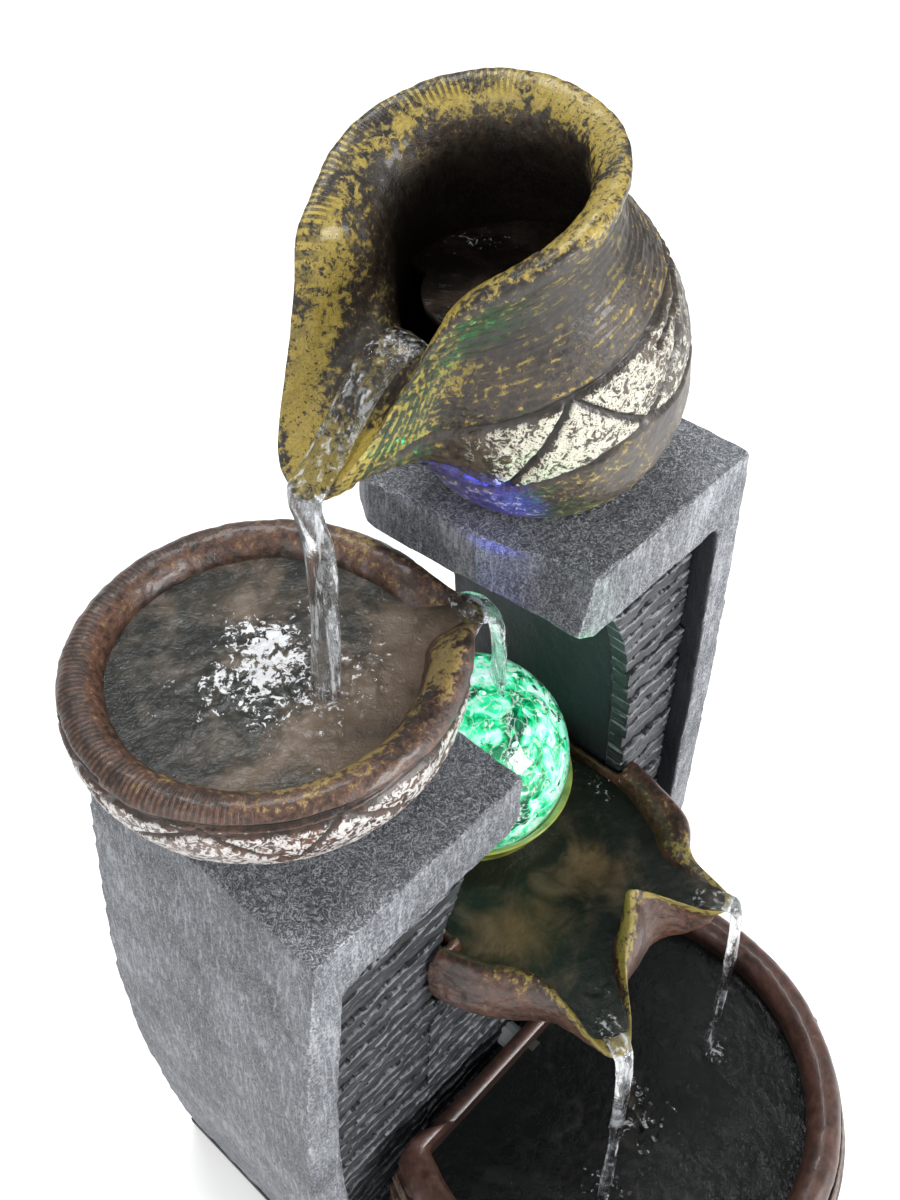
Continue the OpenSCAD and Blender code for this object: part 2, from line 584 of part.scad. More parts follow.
module flow_regulator() color("#454a4f") difference() {
    union() {
        rod(dial_r, [pump_x, pump_y0 - cover_t - dial_t, axis_z], [pump_x, pump_y0 - cover_t - 0.3, axis_z]);
        block([pump_x - 1, pump_y0 - cover_t - dial_t, axis_z + dial_r - 1],
            [pump_x + 1, pump_y0 - cover_t - 0.3, axis_z + dial_r + 2.5]);
    }
    for (a = [30:120:270]) translate([pump_x, pump_y0, axis_z]) rotate([0, a, 0])
        translate([2.8, -cover_t - dial_t - eps, -1.4]) cube([2.8, dial_t + 2 * eps, 2.8]);
    rod(pin_r + 0.05, [pump_x, pump_y0 - cover_t - 2 * dial_t, axis_z], [pump_x, pump_y0, axis_z]);
}

module suction_cups() color("#3a3a3a") for (sx = [-1, 1]) for (sy = [0, 1])
    translate([pump_x + sx * (pump_w / 2 - 5), blend(pump_y0 + 5, pump_y1 - 5, sy), floor_z + basin_floor])
        cylinder(r1 = 4.2, r2 = 2, h = pump_z - floor_z - basin_floor);

cable_x = pump_x - 9;
pump_route = concat([[cable_x, pump_y1 - 2.9, axis_z]],
    bend([cable_x, core_y + 16, axis_z], [0, 1, 0], [0, 0, -1], 4),
    bend([cable_x, core_y + 16, floor_z + 5], [0, 0, -1], [0, 1, 0], 4),
    bend([cable_x, base_y1 - 7, floor_z + 5], [0, 1, 0], [1, 0, 0], 3), [[gland_x - 8, base_y1 - 7, floor_z + 5]]);
module pump_cable() color("#222222") tube(pump_route, 1.1, 8);

module hose_grommet() color("#4a4a4a") difference() {
    union() {
        rod(hose_r + 1.15, [pump_x, basin_cut - basin_floor - 1.2, run_z], [pump_x, basin_cut, run_z]);
        rod(hose_r + 2.4, [pump_x, basin_cut - basin_floor - 1.2, run_z], [pump_x, basin_cut - basin_floor, run_z]);
    }
    rod(hose_r + 0.05, [pump_x, basin_cut - 2 * over, run_z], [pump_x, basin_cut + over, run_z]);
}

riser_route = concat(
    bend([pump_x, outlet_y, run_z], [0, 0, 1], [0, 1, 0], tight_r),
    bend([pump_x, jug_y, run_z], [0, 1, 0], [1, 0, 0], wide_r),
    bend([riser_x, jug_y, run_z], [1, 0, 0], [0, 0, 1], wide_r),
    bend([riser_x, jug_y, loft_z], [0, 0, 1], [-1, 0, 0], tight_r),
    bend([nozzle_x, jug_y, loft_z], [-1, 0, 0], [0, 0, 1], tight_r));
hose_foot = [pump_x, outlet_y, hose_start];
hose_head = [nozzle_x, jug_y, tall_top];
up = [0, 0, eps];
module riser_hose() color("#c9d2d4") difference() {
    tube(concat([hose_foot], riser_route, [hose_head]), hose_r, 12);
    tube(concat([hose_foot - up], riser_route, [hose_head + up]), hose_bore, 12);
}

module jug_nozzle() color("#33373a") translate([nozzle_x, jug_y, 0]) difference() {
    union() {
        translate([0, 0, tall_top - 2.2]) cylinder(r = spigot_r, h = 5);
        translate([0, 0, tall_top]) cylinder(r = 3.2, h = 6);
        translate([0, 0, tall_top + 8.6]) cylinder(r = 5, h = 1.6);
        translate([0, 0, tall_top + 5]) cylinder(r = 3.2, h = 10);
    }
    translate([0, 0, tall_top - over]) cylinder(r = spigot_r - 0.6, h = 5 * over);
}

module lead_splice() color("#dcdcd2")
    block([gland_x - 8, base_y1 - 10, floor_z + 2], [gland_x + 4, base_y1 - wall - 1, floor_z + 7]);

module cable_gland() color("#2a2a2a") translate([gland_x, base_y1, gland_z]) rotate([-90, 0, 0]) difference() {
    union() {
        translate([0, 0, -wall]) cylinder(r = 4, h = wall);
        cylinder(r = 5.2, h = 2.5);
        cylinder(r1 = 4.4, r2 = 3.2, h = gland_l - wall);
    }
    translate([0, 0, -over]) cylinder(r = lead_r, h = gland_l + 2 * over);
}

base_pad();
base_plate();
base_screws();
base_plinth();
left_pillar();
left_slate();
right_pillar();
right_slate();
centre_wall();
centre_slate();
rear_hatch();
hatch_screws();
upper_bowl();
pouring_jug();
lower_bowl();
catch_basin();
crystal_ball();
ball_cup();
led_housing();
led_board();
led_lens();
led_cable();
pump_body();
pump_cover();
impeller();
impeller_shaft();
flow_regulator();
suction_cups();
pump_cable();
hose_grommet();
riser_hose();
jug_nozzle();
lead_splice();
cable_gland();
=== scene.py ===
"""Looks of the tabletop water fountain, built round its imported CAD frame.

Sizes in the classes are millimetres in the frame's own axes. Meshes are written in metres, each
with its place in its vertices.
"""

import logging
import math
from abc import ABC, abstractmethod
from collections.abc import Callable, Sequence
from dataclasses import dataclass, field
from enum import Enum

import bmesh
import bpy
import numpy as np
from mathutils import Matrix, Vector
from mathutils.bvhtree import BVHTree

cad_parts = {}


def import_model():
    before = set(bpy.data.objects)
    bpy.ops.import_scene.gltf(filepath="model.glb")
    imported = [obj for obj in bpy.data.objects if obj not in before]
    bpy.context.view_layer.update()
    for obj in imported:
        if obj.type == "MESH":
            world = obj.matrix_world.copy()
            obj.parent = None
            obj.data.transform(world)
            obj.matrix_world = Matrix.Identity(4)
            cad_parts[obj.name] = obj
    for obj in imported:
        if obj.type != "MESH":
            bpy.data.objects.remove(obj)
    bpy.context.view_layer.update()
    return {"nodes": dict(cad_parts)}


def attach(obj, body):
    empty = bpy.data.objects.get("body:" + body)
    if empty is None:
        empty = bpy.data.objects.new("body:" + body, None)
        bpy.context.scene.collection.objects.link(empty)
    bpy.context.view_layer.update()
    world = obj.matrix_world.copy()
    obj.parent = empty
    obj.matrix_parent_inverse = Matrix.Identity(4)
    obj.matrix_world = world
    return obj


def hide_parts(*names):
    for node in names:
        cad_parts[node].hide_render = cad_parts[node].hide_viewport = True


LOG = logging.getLogger("fountain")
MM = 0.001
CLEARANCE = 0.02
Colour = tuple[float, float, float, float]
Rows = Sequence[tuple[float, float]]


# ---- numbers ----


class Grain:
    """Seeded noise over points in millimetres, for the relief of cast and split surfaces."""

    @staticmethod
    def _lattice(cell: np.ndarray, seed: int) -> np.ndarray:
        """Fixed random numbers from -1 to 1, one for each whole-number cell."""
        n = cell.astype(np.int64)
        h = n[..., 0] * 374761393 + n[..., 1] * 668265263 + n[..., 2] * 2246822519 + seed * 3266489917
        h = (h ^ (h >> 13)) & 0xFFFFFFFF
        h = (h * 1274126177) & 0xFFFFFFFF
        h = (h ^ (h >> 16)) & 0xFFFFFF
        return h / float(0x7FFFFF) - 1.0

    @classmethod
    def smooth(cls, points: np.ndarray, size: float | Sequence[float], seed: int = 0) -> np.ndarray:
        """Smooth noise.

        Args:
            points: Points in millimetres, with x, y and z last.
            size: Size of one patch, or one size for each axis.
            seed: Which noise to take.

        Returns:
            One number from -1 to 1 for each point.
        """
        p = np.asarray(points) / np.asarray(size, dtype=float)
        base = np.floor(p)
        f = p - base
        f = f * f * f * (f * (f * 6 - 15) + 10)
        total = np.zeros(p.shape[:-1])
        for corner in range(8):
            step = np.array([corner & 1, corner >> 1 & 1, corner >> 2 & 1])
            share = np.prod(np.where(step == 1, f, 1 - f), axis=-1)
            total += share * cls._lattice(base + step, seed)
        return total

    @classmethod
    def layers(
        cls, points: np.ndarray, size: float | Sequence[float], octaves: int = 3, seed: int = 0,
        gain: float = 0.5
    ) -> np.ndarray:
        """Several layers of smooth noise, each half the size of the last.

        Args:
            points: Points in millimetres.
            size: Size of the largest patches.
            octaves: Number of layers.
            seed: Which noise to take.
            gain: Strength of each layer beside the one before it.

        Returns:
            One number, mostly from -1 to 1, for each point.
        """
        total, strength, whole = 0.0, 1.0, 0.0
        sizes = np.asarray(size, dtype=float)
        for octave in range(octaves):
            total = total + strength * cls.smooth(points, sizes, seed + 31 * octave)
            whole += strength
            strength *= gain
            sizes = sizes / 2
        return total / whole


def swell(angle: np.ndarray, half: float, power: float) -> np.ndarray:
    """1 at angle 0 and a half at angle half, the steeper the higher the power; degrees."""
    turned = angle - 360 * np.round(angle / 360)
    return 1 / (1 + np.abs(turned / half) ** power)


def ease(value: np.ndarray, low: float, high: float) -> np.ndarray:
    """A smooth step from 0 at low to 1 at high."""
    t = np.clip((value - low) / (high - low), 0, 1)
    return t * t * (3 - 2 * t)


def smooth_rows(rows: Rows, steps: np.ndarray) -> np.ndarray:
    """A smooth curve through an outline that starts and ends on the axis.

    Args:
        rows: The outline's points as radius and height.
        steps: Places along it; whole numbers are its points.

    Returns:
        Radius and height for each place.
    """
    points = np.array(rows, dtype=float)
    padded = np.vstack([points[1] * [-1, 1], points, points[-2] * [-1, 1]])
    i = np.clip(np.floor(steps).astype(int), 0, len(points) - 2)
    f = (steps - i)[:, None]
    a, b, c, d = padded[i], padded[i + 1], padded[i + 2], padded[i + 3]
    return 0.5 * (2 * b + (c - a) * f + (2 * a - 5 * b + 4 * c - d) * f**2 + (3 * b - a - 3 * c + d) * f**3)


def near_line(points: np.ndarray, line: np.ndarray) -> np.ndarray:
    """Distance of flat points from a broken line.

    Args:
        points: Points with two numbers last.
        line: The line's corners, one row each.

    Returns:
        The distance of each point from the line's nearest stretch.
    """
    best = np.full(points.shape[:-1], 1e9)
    for start, end in zip(line[:-1], line[1:]):
        along = end - start
        share = np.clip(((points - start) @ along) / max(along @ along, 1e-9), 0, 1)
        best = np.minimum(best, np.linalg.norm(points - (start + share[..., None] * along), axis=-1))
    return best


# ---- meshes ----


def write_masks(mesh: bpy.types.Mesh, masks: dict[str, np.ndarray]) -> None:
    """Stores numbers from 0 to 1 on a mesh's vertices, by attribute name."""
    for key, values in masks.items():
        layer = mesh.attributes.new(key, "FLOAT", "POINT")
        layer.data.foreach_set("value", np.clip(values, 0, 1).astype(np.float32).ravel())


def make_piece(
    name: str,
    points: np.ndarray,
    faces: Sequence[Sequence[int]] | np.ndarray,
    masks: dict[str, np.ndarray] | None = None,
) -> bpy.types.Object:
    """A mesh object from points in millimetres.

    Args:
        name: The piece's name.
        points: One row for each vertex.
        faces: Vertex numbers of each face, turning left as seen from outside.
        masks: Numbers to store on the vertices, by attribute name.

    Returns:
        The object, at the origin, linked to the scene.
    """
    mesh = bpy.data.meshes.new(name)
    mesh.from_pydata(
        (np.asarray(points).reshape(-1, 3) * MM).tolist(), [], [list(map(int, f)) for f in faces]
    )
    mesh.shade_smooth()
    write_masks(mesh, masks or {})
    piece = bpy.data.objects.new(name, mesh)
    bpy.context.scene.collection.objects.link(piece)
    return piece


def ring_faces(
    rings: int, sides: int, first_pole: bool = True, last_pole: bool = True
) -> list[tuple[int, ...]]:
    """Faces of a stack of rings, closed by a point at either end.

    Args:
        rings: Number of full rings.
        sides: Points in each ring.
        first_pole: Whether vertex 0 is a point below the first ring.
        last_pole: Whether the last vertex is a point after the last ring.

    Returns:
        The faces, with the normals outwards for rings that climb and turn left.
    """
    start = 1 if first_pole else 0
    k = np.arange(sides)
    after = (k + 1) % sides
    faces: list[tuple[int, ...]] = []
    if first_pole:
        faces += [(0, start + b, start + a) for a, b in zip(k, after)]
    for ring in range(rings - 1):
        low = start + ring * sides
        faces += list(zip(low + k, low + after, low + sides + after, low + sides + k))
    if last_pole:
        low = start + (rings - 1) * sides
        faces += [(low + sides, low + a, low + b) for a, b in zip(k, after)]
    return faces


def grid_normals(grid: np.ndarray) -> np.ndarray:
    """Outward normals of a grid of rings, one for each point."""
    along = np.gradient(grid, axis=0)
    around = np.roll(grid, -1, axis=1) - np.roll(grid, 1, axis=1)
    normal = np.cross(around, along)
    return normal / np.maximum(np.linalg.norm(normal, axis=-1, keepdims=True), 1e-9)


def prism(outline: Rows, low: float, high: float) -> tuple[np.ndarray, list[list[int]]]:
    """A closed solid between two values of y.

    Args:
        outline: Its corners in x and z, turning left as seen from the front.
        low: Front y.
        high: Back y.

    Returns:
        Points and faces.
    """
    n = len(outline)
    points = np.array([(x, y, z) for y in (low, high) for x, z in outline])
    faces = [list(range(n)), list(range(2 * n - 1, n - 1, -1))]
    faces += [[k, n + k, n + (k + 1) % n, (k + 1) % n] for k in range(n)]
    return points, faces


def join_solids(name: str, solids: Sequence[tuple[np.ndarray, list[list[int]]]]) -> bpy.types.Object:
    """One object from several closed solids.

    Args:
        name: The object's name.
        solids: Points and faces of each.

    Returns:
        The object.
    """
    points, faces, count = [], [], 0
    for p, f in solids:
        points.append(np.asarray(p))
        faces += [[count + v for v in face] for face in f]
        count += len(p)
    return make_piece(name, np.vstack(points), faces)


def settle(piece: bpy.types.Object) -> bpy.types.Object:
    """Turns a piece's live modifiers into a plain mesh."""
    graph = bpy.context.evaluated_depsgraph_get()
    mesh = bpy.data.meshes.new_from_object(
        piece.evaluated_get(graph), preserve_all_data_layers=True, depsgraph=graph
    )
    piece.modifiers.clear()
    old, piece.data = piece.data, mesh
    mesh.name = piece.name
    bpy.data.meshes.remove(old)
    return piece


def regrid(piece: bpy.types.Object, size: float) -> bpy.types.Object:
    """Rebuilds a closed piece as one even skin of small squares.

    Args:
        piece: The object; overlapping solids in it become one.
        size: Side of a square in millimetres.

    Returns:
        The same object with its new mesh.
    """
    modifier = piece.modifiers.new("even_skin", "REMESH")
    modifier.mode = "VOXEL"
    modifier.voxel_size = size * MM
    modifier.use_smooth_shade = True
    return settle(piece)


@dataclass
class Skin:
    """A dense mesh whose points are moved as one array, in millimetres."""

    piece: bpy.types.Object
    points: np.ndarray = field(init=False)
    normals: np.ndarray = field(init=False)
    edges: np.ndarray = field(init=False)

    def __post_init__(self) -> None:
        """Reads the mesh."""
        mesh = self.piece.data
        count = len(mesh.vertices)
        self.points = np.empty(count * 3, np.float32)
        mesh.vertices.foreach_get("co", self.points)
        self.points = self.points.reshape(-1, 3).astype(float) / MM
        self.normals = np.empty(count * 3, np.float32)
        mesh.vertex_normals.foreach_get("vector", self.normals)
        self.normals = self.normals.reshape(-1, 3).astype(float)
        self.edges = np.empty(len(mesh.edges) * 2, np.int32)
        mesh.edges.foreach_get("vertices", self.edges)
        self.edges = self.edges.reshape(-1, 2)

    def relaxed(self, values: np.ndarray, rounds: int) -> np.ndarray:
        """Each value drawn towards its neighbours' mean, some rounds over."""
        a, b = self.edges[:, 0], self.edges[:, 1]
        count = np.bincount(self.edges.ravel(), minlength=len(values))[:, None]
        result = values.astype(float)
        for _ in range(rounds):
            total = np.zeros_like(result)
            for axis in range(result.shape[1]):
                total[:, axis] += np.bincount(a, result[b, axis], len(result))
                total[:, axis] += np.bincount(b, result[a, axis], len(result))
            result = 0.4 * result + 0.6 * total / np.maximum(count, 1)
        return result

    def store(self, masks: dict[str, np.ndarray]) -> bpy.types.Object:
        """Writes the points back, and the masks as attributes.

        Args:
            masks: Numbers from 0 to 1 for the vertices, by name.

        Returns:
            The object.
        """
        mesh = self.piece.data
        mesh.vertices.foreach_set("co", (self.points * MM).astype(np.float32).ravel())
        write_masks(mesh, masks)
        mesh.shade_smooth()
        mesh.update()
        return self.piece


# ---- node trees ----


class Wire:
    """An output socket that takes part in Python sums and adds the Math nodes they need."""

    def __init__(self, tree: "Tree", socket: bpy.types.NodeSocket) -> None:
        """Keeps the tree and the socket."""
        self.tree = tree
        self.socket = socket

    def __add__(self, other: "Wire | float") -> "Wire":
        """Sum."""
        return self.tree.math("ADD", self, other)

    def __radd__(self, other: float) -> "Wire":
        """Sum with a number first."""
        return self.tree.math("ADD", other, self)

    def __sub__(self, other: "Wire | float") -> "Wire":
        """Difference."""
        return self.tree.math("SUBTRACT", self, other)

    def __rsub__(self, other: float) -> "Wire":
        """Difference from a number."""
        return self.tree.math("SUBTRACT", other, self)

    def __mul__(self, other: "Wire | float") -> "Wire":
        """Product."""
        return self.tree.math("MULTIPLY", self, other)

    def __rmul__(self, other: float) -> "Wire":
        """Product with a number first."""
        return self.tree.math("MULTIPLY", other, self)

    def __truediv__(self, other: "Wire | float") -> "Wire":
        """Quotient."""
        return self.tree.math("DIVIDE", self, other)

    def __rtruediv__(self, other: float) -> "Wire":
        """Quotient of a number."""
        return self.tree.math("DIVIDE", other, self)


Value = Wire | float | int | tuple | str | bool


class Tree:
    """A shader or geometry node tree that is built from Python."""

    def __init__(self, nodes: bpy.types.NodeTree) -> None:
        """Empties the tree and keeps it."""
        self.nodes = nodes
        nodes.nodes.clear()

    def add(
        self, kind: str, settings: dict[str, object] | None = None,
        values: dict[int | str, object] | None = None
    ) -> bpy.types.Node:
        """Adds any node.

        Args:
            kind: The node's type name.
            settings: Properties, set first; "stops" gives a ramp's places and colours.
            values: Values or wires of its input sockets, by number or name.

        Returns:
            The node.
        """
        node = self.nodes.nodes.new(kind)
        for key, setting in (settings or {}).items():
            if key == "stops":
                self._stops(node.color_ramp, setting)
            else:
                setattr(node, key, setting)
        for key, value in (values or {}).items():
            if isinstance(value, Wire):
                self.nodes.links.new(value.socket, node.inputs[key])
            else:
                node.inputs[key].default_value = value
        return node

    @staticmethod
    def _stops(ramp: bpy.types.ColorRamp, stops: Sequence[tuple[float, Colour]]) -> None:
        """Gives a ramp its places and colours."""
        while len(ramp.elements) < len(stops):
            ramp.elements.new(1.0)
        for element, (place, colour) in zip(ramp.elements, stops):
            element.position = place
            element.color = colour

    def out(self, node: bpy.types.Node, output: int | str = 0) -> Wire:
        """One of a node's outputs."""
        return Wire(self, node.outputs[output])

    def math(self, operation: str, *values: Wire | float) -> Wire:
        """One Math node."""
        return self.out(self.add("ShaderNodeMath", {"operation": operation}, dict(enumerate(values))))

    def vector(self, operation: str, *values: Value, output: int = 0) -> Wire:
        """One Vector Math node."""
        return self.out(
            self.add("ShaderNodeVectorMath", {"operation": operation}, dict(enumerate(values))), output
        )

    def scale(self, vector: Wire, by: Wire | float) -> Wire:
        """A vector times a number."""
        return self.out(self.add("ShaderNodeVectorMath", {"operation": "SCALE"}, {0: vector, "Scale": by}))

    def step(self, value: Wire, low: float, high: float) -> Wire:
        """A smooth step from 0 at low to 1 at high."""
        settings = {"interpolation_type": "SMOOTHSTEP"}
        return self.out(self.add("ShaderNodeMapRange", settings, {0: value, 1: low, 2: high}))

    def blend(self, share: Wire | float, first: Value, second: Value) -> Wire:
        """Two colours mixed: the first at share 0, the second at 1."""
        return self.out(self.add("ShaderNodeMix", {"data_type": "RGBA"}, {0: share, 6: first, 7: second}), 2)

    def combine(self, x: Value, y: Value, z: Value) -> Wire:
        """A vector from three numbers."""
        return self.out(self.add("ShaderNodeCombineXYZ", None, {0: x, 1: y, 2: z}))

    def split(self, vector: Wire) -> tuple[Wire, Wire, Wire]:
        """A vector's three numbers."""
        node = self.add("ShaderNodeSeparateXYZ", None, {0: vector})
        return self.out(node, 0), self.out(node, 1), self.out(node, 2)

    def noise(
        self, where: Wire, size: float, detail: float = 3.0, rough: float = 0.55, warp: float = 0.0
    ) -> Wire:
        """Noise from 0 to 1 whose patches are size wide."""
        values = {
            "Vector": where, "Scale": 1 / size, "Detail": detail, "Roughness": rough, "Distortion": warp
        }
        return self.out(self.add("ShaderNodeTexNoise", None, values))

    def cells(self, where: Wire, size: float, feature: str = "F1", output: int = 0) -> Wire:
        """Voronoi cells that are size wide."""
        return self.out(
            self.add("ShaderNodeTexVoronoi", {"feature": feature}, {"Vector": where, "Scale": 1 / size}),
            output
        )

    def stored(self, geometry: Wire, name: str, value: Wire, domain: str = "POINT") -> Wire:
        """Geometry with a number stored on it under a name."""
        settings = {"data_type": "FLOAT", "domain": domain}
        node = self.add("GeometryNodeStoreNamedAttribute", settings, {0: geometry, 2: name, 3: value})
        return self.out(node)

    def millimetres(self, stretch: tuple[float, float, float] = (1, 1, 1)) -> Wire:
        """Object coordinates in millimetres, squeezed along each axis by stretch."""
        scale = tuple(1000.0 / s for s in stretch)
        return self.vector("MULTIPLY", self.out(self.add("ShaderNodeTexCoord"), "Object"), scale)

    def mask(self, name: str) -> Wire:
        """An attribute of the piece's own vertices."""
        return self.out(self.add("ShaderNodeAttribute", {"attribute_name": name}), "Fac")

    def bump(self, height: Wire, depth: float, strength: float = 1.0) -> Wire:
        """A normal from a height in which 1 stands depth millimetres proud."""
        return self.out(
            self.add("ShaderNodeBump", None, {"Strength": strength, "Distance": depth * MM, "Height": height})
        )


@dataclass(frozen=True)
class Finish(ABC):
    """A material that is painted by nodes."""

    name: str

    def material(self) -> bpy.types.Material:
        """The material, made once for each name."""
        found = bpy.data.materials.get(self.name)
        if found:
            return found
        material = bpy.data.materials.new(self.name)
        material.use_nodes = True
        tree = Tree(material.node_tree)
        shader = tree.add("ShaderNodeBsdfPrincipled")
        surface = self.paint(tree, shader) or tree.out(shader)
        output = tree.add("ShaderNodeOutputMaterial")
        tree.nodes.links.new(surface.socket, output.inputs["Surface"])
        return material

    @abstractmethod
    def paint(self, tree: Tree, shader: bpy.types.Node) -> Wire | None:
        """Connects the pattern to the shader.

        Args:
            tree: The material's nodes.
            shader: Its Principled shader.

        Returns:
            A different surface to show, or None for the shader itself.
        """

    @staticmethod
    def set(tree: Tree, shader: bpy.types.Node, **values: object) -> None:
        """Sets or links a shader's inputs, named with _ for each space."""
        for key, value in values.items():
            socket = shader.inputs[key.replace("_", " ")]
            if isinstance(value, Wire):
                tree.nodes.links.new(value.socket, socket)
            else:
                socket.default_value = value


# ---- finishes ----


@dataclass(frozen=True)
class CastStone(Finish):
    """Grey cast resin, dry-brushed like weathered stone. Masks: edge, sunk."""

    dark: Colour = (0.018, 0.022, 0.030, 1)
    middle: Colour = (0.092, 0.103, 0.122, 1)
    light: Colour = (0.58, 0.60, 0.63, 1)

    def paint(self, tree: Tree, shader: bpy.types.Node) -> Wire | None:
        """Clouded grey, with upright strokes on the sides, curled hairs on top and pale worn edges; paler
        fuzz on front and upright faces is painted light, and painted shade darkens the hollows and the inner
        faces under the slabs.
        """
        where = tree.millimetres()
        _, ny, nz = tree.split(tree.out(tree.add("ShaderNodeTexCoord"), "Normal"))
        upright = 1 - tree.step(tree.math("ABSOLUTE", nz), 0.4, 0.8)
        # Faces that turn to the front; they get painted light below
        front = tree.step(0 - ny, 0.4, 0.9)
        cloud = tree.noise(where, 13, 4)
        grit = tree.noise(where, 0.55, 4, 0.7)
        strokes = tree.noise(tree.millimetres((1, 1, 7)), 0.7, 4, 0.65, 0.6)
        curls = tree.noise(where, 2.1, 3, 0.6, 2.4)
        hairs = 1 - tree.step(tree.math("ABSOLUTE", curls - 0.5), 0.0, 0.035)
        worn = tree.mask("edge")
        fine_hairs = 1 - tree.step(
            tree.math("ABSOLUTE", tree.noise(where, 0.8, 3, 0.6, 1.8) - 0.5), 0.0, 0.03
        )
        brushed = tree.step(strokes + (cloud - 0.5) * 0.25, 0.48, 0.70) * upright
        fuzz = tree.step(grit + (cloud - 0.5) * 0.3, 0.48, 0.72)
        tone = tree.blend(tree.step(cloud * 0.5 + grit * 0.5, 0.32, 0.68), self.dark, self.middle)
        tone = tree.blend(brushed * 0.36, tone, self.light)
        # Painted light: paler fuzz on faces that turn to the front, less on other upright faces, least on
        # tops
        tone = tree.blend(fuzz * (0.05 + front * 0.38 + upright * 0.12), tone, self.light)
        tone = tree.blend(hairs * (0.8 - upright * 0.42), tone, self.light)
        tone = tree.blend(fine_hairs * (0.46 - upright * 0.16), tone, self.light)
        tone = tree.blend(tree.step(worn + (grit - 0.5) * 0.9, 0.25, 0.95) * 0.8, tone, (0.66, 0.67, 0.68, 1))
        # Painted shade, near black, in the hollows and on the inner faces under the slabs
        tone = tree.blend(tree.mask("painted_shade") * 0.97, tone, (0.007, 0.009, 0.015, 1))
        height = strokes * upright * 0.8 + curls * 0.7 + grit * 0.9
        self.set(
            tree, shader, Base_Color=tone, Roughness=0.42 + grit * 0.4, Normal=tree.bump(height, 0.32, 0.85)
        )
        return None


@dataclass(frozen=True)
class SplitSlate(Finish):
    """Near-black resin cast from split slate. Masks: lip, the top of each course, and gap, the joint below
    it.
    """

    def paint(self, tree: Tree, shader: bpy.types.Node) -> Wire | None:
        """Black layers with grey scuffs, which gather along their upper lips as a painted highlight."""
        grain = tree.noise(tree.millimetres((7, 7, 1)), 0.9, 4, 0.65, 0.4)
        grit = tree.noise(tree.millimetres((2.5, 2.5, 1)), 0.5, 3, 0.7)
        lip = tree.mask("lip")
        tone = tree.blend(tree.step(grain, 0.35, 0.7), (0.009, 0.010, 0.012, 1), (0.045, 0.049, 0.056, 1))
        # Grey scuffs from grit and grain, pushed onto each course's upper lip as a painted highlight
        scuffs_and_highlight = tree.step(grit + (grain - 0.5) + lip * 0.32, 0.66, 0.9)
        tone = tree.blend(scuffs_and_highlight * 0.75, tone, (0.26, 0.275, 0.30, 1))
        tone = tree.blend(tree.mask("gap"), tone, (0.003, 0.003, 0.004, 1))
        self.set(
            tree, shader, Base_Color=tone, Roughness=0.34 + grit * 0.3,
            Normal=tree.bump(grain + grit * 0.6, 0.3, 0.9)
        )
        return None


@dataclass(frozen=True)
class GlazedResin(Finish):
    """Brown resin with rubbed gilding and pale speckle. Masks: gilt, cream, soot, hatch, arc."""

    deep: Colour = (0.022, 0.013, 0.009, 1)
    body: Colour = (0.120, 0.066, 0.042, 1)
    gold: Colour = (0.42, 0.30, 0.055, 1)
    pale: Colour = (0.60, 0.57, 0.47, 1)
    grain_size: float = 1.2
    specks: float = 0.7
    relief: float = 0.22
    hatches: float = 128

    def paint(self, tree: Tree, shader: bpy.types.Node) -> Wire | None:
        """Brown mottle, gold over it where it was rubbed, pale speckle in the bands, dark in the grooves, and
        painted shade inside, under the rims and in the hollows.
        """
        where = tree.millimetres()
        mottle = tree.noise(where, self.grain_size, 5, 0.68, 0.35)
        cloud = tree.noise(where, 7, 3)
        fine = tree.noise(where, 0.42, 3, 0.65)
        veins = tree.noise(where, self.grain_size * 1.3, 4, 0.6, 1.2)
        gilt = tree.step(tree.mask("gilt") + (mottle - 0.5) * 2.1 + (cloud - 0.5) * 1.1, 0.36, 0.66)
        cream = tree.step(tree.mask("cream") + (veins - 0.5) * 2.0 + (fine - 0.5) * 0.8, 0.48, 0.66)
        spots = tree.step(fine + (veins - 0.5) * 0.7, 0.58, 0.7)
        tone = tree.blend(tree.step(mottle + (cloud - 0.5) * 0.6, 0.3, 0.7), self.deep, self.body)
        shine = tree.blend(
            tree.step(fine, 0.35, 0.7), self.gold, tuple(min(1, c * 1.55 + 0.02) for c in self.gold)
        )
        tone = tree.blend(gilt * 0.86, tone, shine)
        tone = tree.blend(cream, tone, self.pale)
        tone = tree.blend(spots * self.specks, tone, self.deep)
        # Near black: the incised grooves, and painted shade inside the vessel and in other hollows
        tone = tree.blend(tree.mask("painted_shade_and_grooves") * (0.75 + mottle * 0.25), tone, (0.006, 0.005, 0.004, 1))
        wander = tree.mask("arc") * self.hatches + (cloud - 0.5) * 0.8
        combed = tree.mask("hatch") * tree.step(tree.math("COSINE", wander * (2 * math.pi)), -0.2, 0.4)
        tone = tree.blend(combed * 0.75, tone, (0.012, 0.008, 0.006, 1))
        height = mottle * 0.8 + fine * 0.5 + gilt * 0.25 - combed * 0.9
        self.set(
            tree, shader, Base_Color=tone, Roughness=0.24 + mottle * 0.3,
            Normal=tree.bump(height, self.relief, 0.8)
        )
        self.set(tree, shader, Coat_Weight=0.16, Coat_Roughness=0.1)
        return None


